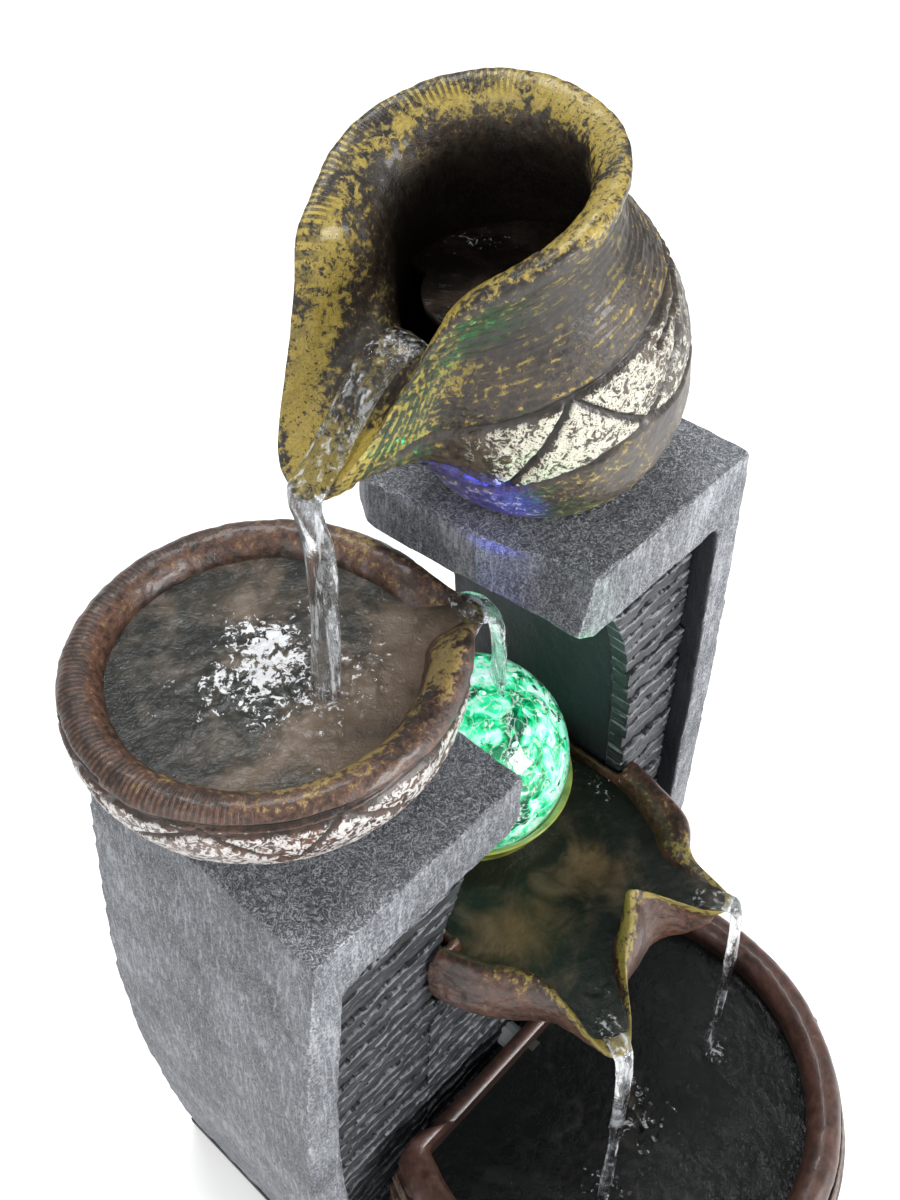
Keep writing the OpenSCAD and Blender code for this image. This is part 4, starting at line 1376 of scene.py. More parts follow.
@dataclass
class Vessel:
    """A shell of rings from its foot, over its rim, to the inside of its floor."""

    name: str
    centre: tuple[float, float, float]
    plain: Rows
    lips: Sequence[tuple[float, float, Rows]]
    bumps: Sequence[tuple[float, float, float, float]]
    rim: float
    bend: float = 1.0
    tilt: float = 0.0
    turned: bool = False
    rings: int = 250
    sides: int = 360
    inner_share: float = 0.45
    steps: np.ndarray = field(init=False)
    angles: np.ndarray = field(init=False)
    radius: np.ndarray = field(init=False)
    height: np.ndarray = field(init=False)
    relief: np.ndarray = field(init=False)
    masks: dict[str, np.ndarray] = field(default_factory=dict, init=False)

    def __post_init__(self) -> None:
        """Spaces the rings evenly, closer on the outside than on the inside."""
        fine = np.linspace(0, len(self.plain) - 1, 4000)
        lip = self.lips[0][2] if self.lips else self.plain
        lengths = []
        for rows in (self.plain, lip):
            curve = smooth_rows(rows, fine)
            lengths.append(np.linalg.norm(np.diff(curve, axis=0), axis=1))
        middle = (fine[1:] + fine[:-1]) / 2
        weight = np.where(middle > self.rim + 2.5, self.inner_share, 1.0)
        travelled = np.concatenate([[0], np.cumsum((lengths[0] * 0.65 + lengths[1] * 0.35) * weight)])
        self.steps = np.interp(np.linspace(0, travelled[-1], self.rings + 2), travelled, fine)
        self.angles = np.arange(self.sides) * 360 / self.sides
        self.radius, self.height = self.outline(self.steps, self.angles)
        self.relief = np.zeros_like(self.radius)

    def outline(self, steps: np.ndarray, angles: np.ndarray) -> tuple[np.ndarray, np.ndarray]:
        """Radius and height of the shell.

        Args:
            steps: Places along the outline.
            angles: Directions in degrees.

        Returns:
            Two grids with a row for each place.
        """
        plain = smooth_rows(self.plain, steps)
        radius = plain[:, :1] + 0 * angles[None, :]
        height = plain[:, 1:] + 0 * angles[None, :]
        for at, half, rows in self.lips:
            lip = smooth_rows(rows, steps)
            share = swell(angles - at, half, 3)[None, :]
            radius = radius + share * (lip - plain)[:, :1]
            height = height + share**self.bend * (lip - plain)[:, 1:]
        fade = np.exp(-(((steps - self.rim) / 2.2) ** 2))[:, None]
        for at, half, out, up in self.bumps:
            share = swell(angles - at, half, 2)[None, :] * fade
            radius, height = radius + share * out, height + share * up
        return radius, height

    def world(self, radius: np.ndarray, height: np.ndarray, angles: np.ndarray) -> np.ndarray:
        """Points in the frame from radius, height and angle."""
        a = np.radians(angles) + (np.pi if self.turned else 0)
        x, y, z = radius * np.cos(a), radius * np.sin(a), height + 0 * a
        t = math.radians(-self.tilt)
        return np.stack(
            [x * math.cos(t) + z * math.sin(t), y, -x * math.sin(t) + z * math.cos(t)], axis=-1
        ) + np.array(self.centre)

    def local(self) -> np.ndarray:
        """The grid's points about the vessel's own upright axis."""
        a = np.radians(self.angles)[None, :]
        return np.stack([self.radius * np.cos(a), self.radius * np.sin(a), self.height], axis=-1)

    def zone(self, low: float, high: float, soft: float = 0.4) -> np.ndarray:
        """1 between two places along the outline, fading over soft."""
        s = self.steps[:, None]
        return ease(s, low - soft, low + soft) * (1 - ease(s, high - soft, high + soft)) + 0 * self.radius

    def sector(self, middle: float, half: float, power: float = 8) -> np.ndarray:
        """1 within half of an angle, fading quickly beyond it."""
        return swell(self.angles - middle, half, power)[None, :] + 0 * self.radius

    def lines(self, line: Rows, width: float, outside: float) -> np.ndarray:
        """How deep an incised line cuts, from 0 to 1.

        Args:
            line: Its corners as angle and height.
            width: Its width.
            outside: The last place along the outline that it may touch.

        Returns:
            A grid with 1 on the line.
        """
        reach = np.median(self.radius[(self.steps > 2) & (self.steps < self.rim)])
        best = np.full(self.radius.shape, 1e9)
        path = np.array([(math.radians(a) * reach, h) for a, h in line], dtype=float)
        for turn in (-360, 0, 360):
            flat = np.stack(
                [np.radians(self.angles[None, :] + turn) * reach + 0 * self.height, self.height], axis=-1
            )
            best = np.minimum(best, near_line(flat, path))
        return (1 - ease(best, width * 0.2, width * 0.75)) * (self.steps[:, None] < outside)

    def mesh(self, stands_on: float | None = None) -> bpy.types.Object:
        """The shell with its relief.

        Args:
            stands_on: The height at which its foot is made flat, if it has one.

        Returns:
            The object, with the masks as attributes.
        """
        grid = self.world(self.radius, self.height, self.angles[None, :])
        grid[1:-1] += grid_normals(grid)[1:-1] * self.relief[1:-1, :, None]
        if stands_on is not None:
            grid[..., 2] = np.maximum(grid[..., 2], stands_on + CLEARANCE)
        body = grid[1:-1].reshape(-1, 3)
        points = np.vstack([grid[0].mean(axis=0), body, grid[-1].mean(axis=0)])
        masks = {
            key: np.concatenate([[value[0].mean()], value[1:-1].ravel(), [value[-1].mean()]])
            for key, value in self.masks.items()
        }
        return make_piece(self.name, points, ring_faces(self.rings, self.sides), masks)


class Jug(Vessel):
    """The gilded jug, tilted towards the bowl, with its wide spout."""

    def __init__(self) -> None:
        """Gives the shell the jug's outlines."""
        plain = [
            (0, -23.2), (11, -20.6), (17.6, -15), (21.9, -7.5), (23.3, 0), (23.7, 8), (22.6, 16), (20, 24),
            (17.8, 30),
            (17.8, 36), (19.4, 40.6), (19.2, 43.2), (17.4, 44.2), (15, 42.6), (13.6, 39), (13.2, 34),
            (14, 28), (17, 18),
            (19.4, 6), (19.4, -3), (16, -12), (9, -16), (0, -17),
        ]
        lip = [
            (0, -23.2), (11, -20.6), (17.6, -15), (21.9, -7.5), (23.3, -1), (24.5, 4), (27, 7.5), (30.5, 10),
            (34, 12),
            (37.5, 13.6), (40.5, 15.3), (41.5, 17), (40.6, 18.6), (38, 19.6), (34, 21.3), (28.5, 24),
            (21, 26.6),
            (16.5, 22), (18.8, 6), (19.4, -3), (16, -12), (9, -16), (0, -17),
        ]
        super().__init__(
            "pouring_jug_shell", (JUG_X, JUG_Y, TALL_TOP + 21.0), plain, [(-9, 16, lip)],
            [(160, 60, 0, -4.5), (-36, 14, 1.5, 5), (14, 12, 0, -2.5), (-72, 44, 3, 0)], rim=12, bend=0.75,
            tilt=22, turned=True, rings=255,
        )

    def build(self) -> bpy.types.Object:
        """Cuts the bands, combs and hatches the clay, and marks what is gilded."""
        here = self.local()
        spout = self.sector(-9, 26, 4)
        upper = [
            (-260, 16), (-150, 17), (-60, 15), (-8.6, 13), (4, 15.6), (16, 16.1), (43, 18), (62, 18.9),
            (98, 19.2), (210, 17)
        ]
        lower = [
            (-260, 4), (-150, 4), (-80, 1), (-20, 0), (25, 2.5), (41, 4.2), (65, 5.8), (85, 6.7), (102, 4),
            (210, 4)
        ]
        zigzag = [
            (-180, 4), (-140, 17), (-100, 3), (-58, 15), (-8.6, 10.7), (25, 2.5), (60.3, 18.7), (84, 7.0),
            (131.6, 17.5), (180, 4)
        ]
        grooves = np.maximum.reduce(
            [self.lines(upper, 1.1, 9), self.lines(lower, 1.0, 8), self.lines(zigzag, 0.95, 8)]
        )
        angles = (self.angles + 180) % 360 - 180
        band_top = np.interp(angles, *zip(*sorted(upper)))[None, :]
        band_low = np.interp(angles, *zip(*sorted(lower)))[None, :]
        outside = (self.steps < 9.5)[:, None]
        band = (
            ease(self.height, band_low, band_low + 1) * (1 - ease(self.height, band_top - 1, band_top))
            * outside
        )
        shoulder = self.zone(5.5, 10) * (1 - band) * ease(self.height, band_top - 1, band_top + 1)
        combs = np.sin(2 * np.pi * (self.height + 1.2 * Grain.smooth(here, 9, 4)) / 1.25)
        hatch_at = self.sector(-92, 66) * self.zone(9.6, 12.9, 0.3)
        mottle = Grain.layers(here, 3.4, 3, 21)
        fine = Grain.layers(here, 1.3, 2, 25)
        self.relief = (
            -0.85 * grooves + 0.16 * combs * shoulder * (0.4 + 0.6 * (mottle > -0.2)) 
            + 0.16 * mottle + 0.10 * fine - 0.25 + 0.18 * band * fine
        )
        rim = self.zone(9.9, 14.2, 0.9)
        inside = self.zone(14.6, 30, 0.9) * (1 - 0.72 * self.sector(-9, 30, 4) * self.zone(12, 17.4, 0.5))
        crest = self.zone(11.4, 13.4, 0.7)
        low = 1 - ease(self.height, band_low - 1, band_low)
        self.masks = {
            "gilt": 0.40 * rim + 0.22 * crest + 0.26 * low * outside + (0.08 + 0.36 * ease(combs, 0.1, 0.9))
            * shoulder
            + 0.34 * self.sector(-9, 26, 4) * self.zone(12.6, 17.2, 0.4) + 0.24 * spout * self.zone(6, 11)
            - 0.1 * hatch_at,
            "cream": 0.76 * band * (1 - grooves) * (1 - 0.5 * self.sector(170, 80, 4))
            * (1 - self.sector(-22, 44, 6)),
            # Painted shade inside the jug and on the neck under the rim, with the grooves dark
            "painted_shade_and_grooves": np.clip(
                grooves * 0.95 + inside * 0.97 + 0.7 * self.zone(7.4, 9.6, 0.8) * (1 - spout), 0, 1
            )
            * (1 - 0.6 * hatch_at),
            "hatch": hatch_at,
            "arc": self.angles[None, :] / 360 + 0 * mottle,
        }

        return place(self.mesh(TALL_TOP), Finishes.JUG, "gilt_resin", ["pouring_jug"])


class UpperBowl(Vessel):
    """The bowl on the low pillar, with one pouring lip."""

    def __init__(self) -> None:
        """Gives the shell the bowl's outlines."""
        r, h = 33.4, 21.0
        plain = [
            (0, 0), (18.5, 0), (r - 4.5, 0.19 * h), (r - 0.8, 0.45 * h), (r, 0.71 * h), (r - 0.5, 0.9 * h),
            (r - 2.8, h),
            (r - 5.8, 0.98 * h), (r - 7.8, 0.86 * h), (r - 8.8, 0.67 * h), (r - 12, 0.38 * h), (14, 4.5),
            (0, 3.5),
        ]
        lip = [
            (0, 0), (18.5, 0), (r - 3.8, 0.17 * h), (r + 0.4, 0.38 * h), (r + 2.2, 0.55 * h),
            (r + 4.2, 0.67 * h),
            (r + 3.7, 0.75 * h), (r + 1.2, 0.77 * h), (r - 3.3, 0.74 * h), (r - 7.8, 0.62 * h),
            (r - 12, 0.38 * h),
            (14, 4.5), (0, 3.5),
        ]
        super().__init__(
            "upper_bowl_shell", (BOWL_X, BOWL_Y, LOW_TOP), plain, [(-27, 9, lip)], [(-46, 12, 1.5, 2.2)],
            rim=6, rings=230
        )

    def build(self) -> bpy.types.Object:
        """Cuts the zig-zag band, hatches the left of the rim and rubs the gilding on; gold along the inner
        edge of the near rim is a painted highlight, and the inside gets painted shade.
        """
        here = self.local()
        top = [
            (-540, 18.6), (-164, 17.6), (-150, 18.6), (-115, 18.8), (-92, 18.4), (-66, 16.6), (-50, 15.6),
            (540, 18.6)
        ]
        zigzag = [(a, 17.6 if k % 2 else 8.6) for k, a in enumerate(range(-212, 190, 21))]
        zigzag = [(a + 5 * math.sin(a * 2.3), h) for a, h in zigzag if not -48 < a < -8]
        grooves = np.maximum(self.lines(top, 0.95, 5.6), self.lines(zigzag, 0.95, 5.2))
        band = (1 - ease(self.height, 17.4, 18.4)) * self.zone(1.6, 5.2)
        hatch_at = (self.sector(172, 46) + self.sector(110, 38)) * self.zone(4.9, 6.8, 0.4)
        lumps = Grain.layers(here, 4.5, 3, 41)
        fine = Grain.layers(here, 1.3, 2, 43)
        inside = self.zone(7.9, 20, 0.5)
        self.relief = -0.8 * grooves + 0.22 * lumps + 0.12 * fine - 0.28 + 0.25 * inside * lumps
        # The near side of the rim: its inner edge gets a painted highlight in gold
        front = self.sector(-95, 62, 3)
        crest = self.zone(5.6, 7.9, 0.5)
        self.masks = {
            "gilt": 0.17 * self.zone(4.9, 6.6) + 0.42 * self.zone(6.7, 7.8, 0.3) * front + 0.14 * crest - 0.2
            * hatch_at + 0.30 * self.sector(-48, 16, 3) * crest,
            "cream": 0.56 * band * (1 - grooves),
            # Painted shade inside the bowl, with the grooves dark
            "painted_shade_and_grooves": np.clip(0.9 * grooves + 0.55 * inside, 0, 1),
            "hatch": hatch_at,
            "arc": self.angles[None, :] / 360 + 0 * lumps,
        }

        return place(self.mesh(LOW_TOP), Finishes.BOWL, "bronze_resin", ["upper_bowl"])


class LowerBowl(Vessel):
    """The front of the lower bowl, with two pouring lips and the curled hump between them."""

    CUT_Y = -5.6
    LEFT, RIGHT = -18.7, 33.65

    def __init__(self) -> None:
        """Gives the shell the bowl's outlines."""
        r, h = 32.0, 23.3
        plain = [
            (0, 0), (r - 12, 0), (r - 4.5, 0.13 * h), (r - 0.7, 0.38 * h), (r, 0.64 * h),
            (r - 0.3, 0.88 * h), (r - 2.5, h),
            (r - 5.2, 0.965 * h), (r - 6.4, 0.82 * h), (r - 7.5, 0.52 * h), (r - 12, 0.26 * h),
            (r - 21, 3.5), (0, 3),
        ]

        def lip(reach: float) -> list[tuple[float, float]]:
            """The outline through a lip that reaches this far out."""
            return [
                (0, 0), (r - 12, 0), (r - 3, 0.11 * h), (r + 3, 0.28 * h), (r + 8, 0.45 * h),
                (reach - 2, 0.6 * h),
                (reach, 0.71 * h), (reach - 1.2, 0.77 * h), (reach - 6, 0.755 * h), (r + 3, 0.71 * h),
                (r - 5, 0.56 * h),
                (r - 21, 3.5), (0, 3),
            ]

        super().__init__(
            "lower_bowl_shell", (POOL_X, 0, POOL_Z), plain,
            [(-115, 9, lip(r + 13.5)), (-65, 8, lip(r + 11.5))],
            [(-80, 9, -6.5, 3.5), (-40, 13, 4, 0)], rim=6, rings=230, sides=380,
        )

    def build(self) -> tuple[bpy.types.Object, bpy.types.Object]:
        """Makes the front and the trough behind it.

        Returns:
            The two pieces.
        """
        here = self.local()
        lumps = Grain.layers(here, 5, 3, 61)
        fine = Grain.layers(here, 1.4, 2, 63)
        combs = Grain.layers(here, (1.1, 1.1, 7), 2, 65)
        outside = self.zone(-1, 5.2)
        crest = self.zone(5.3, 7.6, 0.5)
        lips = np.clip(self.sector(-115, 19, 4) + self.sector(-65, 17, 4) + self.sector(-86, 14, 4), 0, 1)
        inside = self.zone(7.7, 20, 0.5)
        self.relief = 0.26 * lumps + 0.12 * fine - 0.3 + 0.12 * combs * outside
        self.masks = {
            "gilt": 0.50 * crest * lips + 0.16 * crest + 0.06 * outside,
            "cream": 0 * lumps,
            # Painted shade inside the bowl, less at the lips, and low on the outside
            "painted_shade_and_grooves": np.clip(0.7 * inside * (1 - 0.35 * lips) + 0.25 * self.zone(-1, 2.2), 0, 1),
        }
        shell = self.mesh()
        mesh = bmesh.new()
        mesh.from_mesh(shell.data)
        cut = bmesh.ops.bisect_plane(
            mesh, geom=mesh.verts[:] + mesh.edges[:] + mesh.faces[:], plane_co=(0, self.CUT_Y * MM, 0),
            plane_no=(0, 1, 0),
            clear_outer=True,
        )
        rim = [e for e in cut["geom_cut"] if isinstance(e, bmesh.types.BMEdge)]
        caps = bmesh.ops.holes_fill(mesh, edges=rim)["faces"]
        bmesh.ops.triangulate(mesh, faces=caps)
        mesh.to_mesh(shell.data)
        mesh.free()
        front = place(shell, Finishes.POOL, "bronze_resin", ["lower_bowl"])
        trough = Masonry("lower_bowl_trough", square=0.75, wear=0.5, seed=29)
        low, top, side = POOL_Z, 105.2, 1.5
        sides = ((self.LEFT, self.LEFT + side + 0.4), (self.RIGHT - side - 0.4, self.RIGHT))
        for x0, x1 in sides:
            trough.add([(x1, low), (x1, top), (x0, top), (x0, low)], self.CUT_Y - 1.8, POOL_BACK)
        trough.add(
            [(self.RIGHT, low), (self.RIGHT, low + 3), (self.LEFT, low + 3), (self.LEFT, low)],
            self.CUT_Y - 1.8, POOL_BACK
        )
        trough.add(
            [(self.RIGHT, low), (self.RIGHT, top), (self.LEFT, top), (self.LEFT, low)],
            POOL_BACK - side - 0.4, POOL_BACK
        )
        curve = smooth_rows(self.plain, np.linspace(1, 6, 24))
        span = np.sqrt(np.maximum(curve[:, 0] ** 2 - 6.5**2, 1))
        for sign, edge in ((-1, self.LEFT + side), (1, self.RIGHT - side)):
            outline = [(POOL_X + sign * (s - 0.5), low + z) for s, (_, z) in zip(span, curve)]
            outline += [(edge, low + 22.8), (edge, low)]
            trough.add(outline if sign > 0 else outline[::-1], self.CUT_Y - 1.8, self.CUT_Y + 0.1)
        back = place(trough.build(), Finishes.POOL, "bronze_resin")
        return front, back


@dataclass
class Basin:
    """The catch basin: a banded wall, a thick rolled rim and a flat back."""

    centre: tuple[float, float] = (BASIN_X, BASIN_Y)
    radius: float = 49.3
    top: float = 50.6
    roll: float = 3.8
    wall: float = 7.0
    cut_y: float = -9.5
    sides: int = 400

    def build(self) -> bpy.types.Object:
        """Makes the basin."""
        r, h, roll = self.radius, self.top, self.roll
        outer = [
            (0, 3.5), (r - 9, 3.5), (r - 1.5, 0.24 * h), (r + 2.6, 0.5 * h), (r + 3, 0.68 * h),
            (r + 1, 0.87 * h)
        ]
        turns = np.linspace(-0.25, 1.12, 15) * np.pi
        rim = [(r - roll + roll * math.cos(t), h - roll + roll * math.sin(t)) for t in turns]
        inner_r = r - self.wall
        inner = [
            (inner_r + 0.8, 0.75 * h), (inner_r + 0.8, 0.5 * h), (inner_r - 2, 0.26 * h),
            (inner_r - 10, 6.5), (0, 6.5)
        ]
        rows = [*outer, *rim, *inner]
        fine = np.linspace(0, len(rows) - 1, 3000)
        curve = smooth_rows(rows, fine)
        lengths = np.linalg.norm(np.diff(curve, axis=0), axis=1)
        weight = np.where(fine[1:] < 1, 0.3, np.where(fine[1:] > len(outer) + 14, 0.35, 1.0))
        travelled = np.concatenate([[0], np.cumsum(lengths * weight)])
        steps = np.interp(np.linspace(0, travelled[-1], 182), travelled, fine)
        profile = smooth_rows(rows, steps)
        angles = np.radians(np.arange(self.sides) * 360 / self.sides)
        first_rim = len(outer) - 0.5
        outside = (1 - ease(steps, first_rim, first_rim + 1.5))[:, None] * ease(steps, 0.9, 1.1)[:, None]
        on_rim = (
            (ease(steps, first_rim, first_rim + 2) * (1 - ease(steps, first_rim + 13, first_rim + 15)))[:,
                None]
        )
        inside = ease(steps, first_rim + 12, first_rim + 15)[:, None]
        unit = np.stack([np.cos(angles), np.sin(angles)], axis=-1)
        radius = profile[:, :1] + 0 * angles[None, :]
        height = profile[:, 1:] + 0 * angles[None, :]
        here = np.stack([radius * unit[:, 0], radius * unit[:, 1], height], axis=-1)
        bands = (
            np.sin(height * 2 * np.pi / 5.2 + 1.5 * Grain.smooth(here, 26, 3)) + 0.5
            * np.sin(height * 2 * np.pi / 1.9)
        )
        lumps, fines = Grain.layers(here, 8, 3, 71), Grain.layers(here, 1.7, 3, 73)
        grain = Grain.layers(here, (12, 12, 1.1), 2, 75)
        normal = grid_normals(here)
        push = (
            outside * (0.35 * bands + 0.22 * grain - 0.6) + on_rim * (0.22 * lumps + 0.14 * fines - 0.3)
            + inside * 0.2 * lumps
        )
        here = here + normal * push[..., None]
        radius, height = np.hypot(here[..., 0], here[..., 1]), here[..., 2]
        # The back is cut flat, and its wall stands lower than the rim
        sine = np.maximum(np.sin(angles), 1e-6)[None, :]
        behind = (np.sin(angles) > 0)[None, :]
        outer_limit = np.where(behind, (self.cut_y - self.centre[1]) / sine, 1e6)
        inner_limit = np.where(behind, (self.cut_y - 3 - self.centre[1]) / sine, 1e6)
        is_inner = (steps > first_rim + 8)[:, None]
        radius = np.minimum(radius, np.where(is_inner, inner_limit, outer_limit))
        low_wall = ease(inner_r - outer_limit, -1.0, 1.5)
        height = np.where(height > h - roll, height + (h - roll - height) * low_wall, height)
        grid = np.stack(
            [radius * unit[:, 0] + self.centre[0], radius * unit[:, 1] + self.centre[1],
                np.maximum(height, FLOOR_Z)], axis=-1
        )
        points = np.vstack([grid[0, :1], grid[1:-1].reshape(-1, 3), grid[-1, :1]])
        tones = {
            "gilt": outside * (0.42 + 0.16 * bands) + on_rim * 0.02,
            "cream": 0 * lumps,
            # Painted shade inside the basin and in the troughs between the bands
            "painted_shade_and_grooves": inside * 0.85 + outside * ease(-bands, 0.3, 1.4) * 0.55 + 0 * lumps,
        }
        masks = {k: np.concatenate([[v[0, 0]], v[1:-1].ravel(), [v[-1, 0]]]) for k, v in tones.items()}
        piece = make_piece("catch_basin_shell", points, ring_faces(len(steps) - 2, self.sides), masks)
        mesh = bmesh.new()
        mesh.from_mesh(piece.data)
        bmesh.ops.dissolve_degenerate(mesh, dist=1e-6, edges=mesh.edges[:])
        mesh.to_mesh(piece.data)
        mesh.free()
        return place(piece, Finishes.BASIN, "basin_resin", ["catch_basin"])


# ---- ball and cup ----


@dataclass
class CrystalBall:
    """The crackled ball: a clear skin round lit facets and shards."""

    centre: tuple[float, float, float] = (BALL_X, BALL_Y, BALL_Z)
    radius: float = 20.0

    def skin(self) -> bpy.types.Object:
        """The clear outer sphere."""
        rings, sides = 90, 160
        polar = np.linspace(np.pi, 0, rings + 2)
        turn = np.arange(sides) * 2 * np.pi / sides
        grid = np.stack(
            [
                np.sin(polar)[:, None] * np.cos(turn), np.sin(polar)[:, None] * np.sin(turn),
                np.cos(polar)[:, None] + 0 * turn
            ],
            axis=-1,
        )
        points = np.vstack([grid[0, :1], grid[1:-1].reshape(-1, 3), grid[-1, :1]])
        dents = np.maximum(0, Grain.layers(points * self.radius, 5, 2, 81)) * 0.12
        return make_piece(
            "crystal_ball_skin", points * (self.radius - dents)[:, None] + np.array(self.centre),
            ring_faces(rings, sides)
        )

    def core(self) -> bpy.types.Object:
        """The crackled heart: a faceted globe whose facets each take a colour."""
        maker = Generator("crystal_ball_heart")
        tree = maker.tree
        radius = maker.number("Radius", (self.radius - 2.6) * MM)
        middle = tree.combine(*[maker.number(f"Centre {a}", c * MM) for a, c in zip("XYZ", self.centre)])
        globe = tree.add("GeometryNodeMeshIcoSphere", None, {0: radius, 1: 5})
        position = tree.out(tree.add("GeometryNodeInputPosition"))
        cell = tree.cells(position, 0.006, "F1", 1)
        shade = tree.vector("DOT_PRODUCT", cell, (0.4, 0.35, 0.25), output=1)
        depth = tree.scale(tree.vector("NORMALIZE", position), shade * -0.0032)
        moved = tree.add("GeometryNodeSetPosition", None, {0: tree.out(globe), 3: depth})
        tinted = tree.stored(tree.out(moved), "tint", shade)
        shifted = tree.add("GeometryNodeTransform", None, {0: tinted, "Translation": middle})
        return maker.finish(tree.out(shifted), Finishes.CRACKLE)

    def shards(self) -> bpy.types.Object:
        """Splinters of glass that hang in the ball."""
        maker = Generator("crystal_ball_shards")
        tree = maker.tree
        count, seed = maker.number("Count", 300), maker.number("Seed", 11)
        inner = maker.number("Inner radius", (self.radius - 2.4) * MM)
        depth = maker.number("Depth", 1.3 * MM)
        size = maker.number("Shard size", 0.95 * MM)
        middle = tree.combine(*[maker.number(f"Centre {a}", c * MM) for a, c in zip("XYZ", self.centre)])
        way = tree.add("FunctionNodeRandomValue", {"data_type": "FLOAT_VECTOR"}, {"Seed": seed})
        way.inputs[0].default_value, way.inputs[1].default_value = (-1, -1, -1), (1, 1, 1)
        share = tree.add("FunctionNodeRandomValue", {"data_type": "FLOAT"}, {"Seed": seed + 1})
        reach = inner + depth * tree.out(share, 1)
        spot = tree.scale(tree.vector("NORMALIZE", tree.out(way)), reach)
        points = tree.add("GeometryNodePoints", None, {0: count, 1: tree.vector("ADD", spot, middle)})
        splinter = tree.add("GeometryNodeMeshIcoSphere", None, {0: size, 1: 1})
        flat = tree.add("GeometryNodeTransform", None, {0: tree.out(splinter), "Scale": (1.0, 0.55, 0.18)})
        turns = tree.add("FunctionNodeRandomValue", {"data_type": "FLOAT_VECTOR"}, {"Seed": seed + 2})
        turns.inputs[0].default_value, turns.inputs[1].default_value = (0, 0, 0), (6.3, 6.3, 6.3)
        placed = tree.add(
            "GeometryNodeInstanceOnPoints", None,
            {0: tree.out(points), 2: tree.out(flat), "Rotation": tree.out(turns)}
        )
        tint = tree.add("FunctionNodeRandomValue", {"data_type": "FLOAT"}, {"Seed": seed + 3})
        tinted = tree.stored(tree.out(placed), "tint", tree.out(tint, 1), "INSTANCE")
        return maker.finish(tinted, Finishes.SHARDS)

    def build(self) -> None:
        """Makes the three pieces, which turn together."""
        place(self.skin(), Finishes.GLASS, "crackle_glass", ["crystal_ball"], body="ball")
        place(self.core(), Finishes.CRACKLE, "crackle_glass", body="ball")
        place(self.shards(), Finishes.SHARDS, "crackle_glass", body="ball")


@dataclass
class BallCup:
    """The olive cup that holds the ball."""

    centre: tuple[float, float] = (BALL_X, BALL_Y)
    low: float = 87.0
    height: float = 22.0
    ball_z: float = 114.0
    inner: float = 20.4

    def build(self) -> bpy.types.Object:
        """Turns the cup's outline, with a rounded lip and open bottom."""
        top = self.low + self.height
        outer = [
            (9.1, self.low), (11.6, self.low), (12.0, self.low + 0.5), (12.0 + 8.7 * 0.5, self.low + 11),
            (20.5, top - 1.0)
        ]
        lip = [(20.95, top - 0.45), (20.75, top - 0.02), (20.1, top - 0.35)]
        angles = np.linspace(
            math.asin((self.ball_z - top + 0.8) / self.inner), math.acos(9.3 / self.inner), 16
        )
        inside = [(self.inner * math.cos(a), self.ball_z - self.inner * math.sin(a)) for a in angles]
        rows = np.array([*outer, *lip, *inside, (9.1, 95.6)])
        dense = []
        for a, b in zip(rows, np.roll(rows, -1, axis=0)):
            dense += [a + (b - a) * t for t in np.linspace(0, 1, 5)[:-1]]
        profile = np.array(dense)
        sides = 144
        turn = np.arange(sides) * 2 * np.pi / sides
        grid = np.stack(
            [
                profile[:, :1] * np.cos(turn) + self.centre[0],
                profile[:, :1] * np.sin(turn) + self.centre[1], profile[:, 1:] + 0 * turn
            ],
            axis=-1,
        )
        n = len(profile)
        k = np.arange(sides)
        after = (k + 1) % sides
        faces = []
        for ring in range(n):
            a, b = ring * sides, (ring + 1) % n * sides
            faces += list(zip(a + k, a + after, b + after, b + k))
        return place(
            make_piece("ball_cup_shell", grid.reshape(-1, 3), faces), Finishes.CUP, "cup_resin", ["ball_cup"]
        )


# ---- water ----


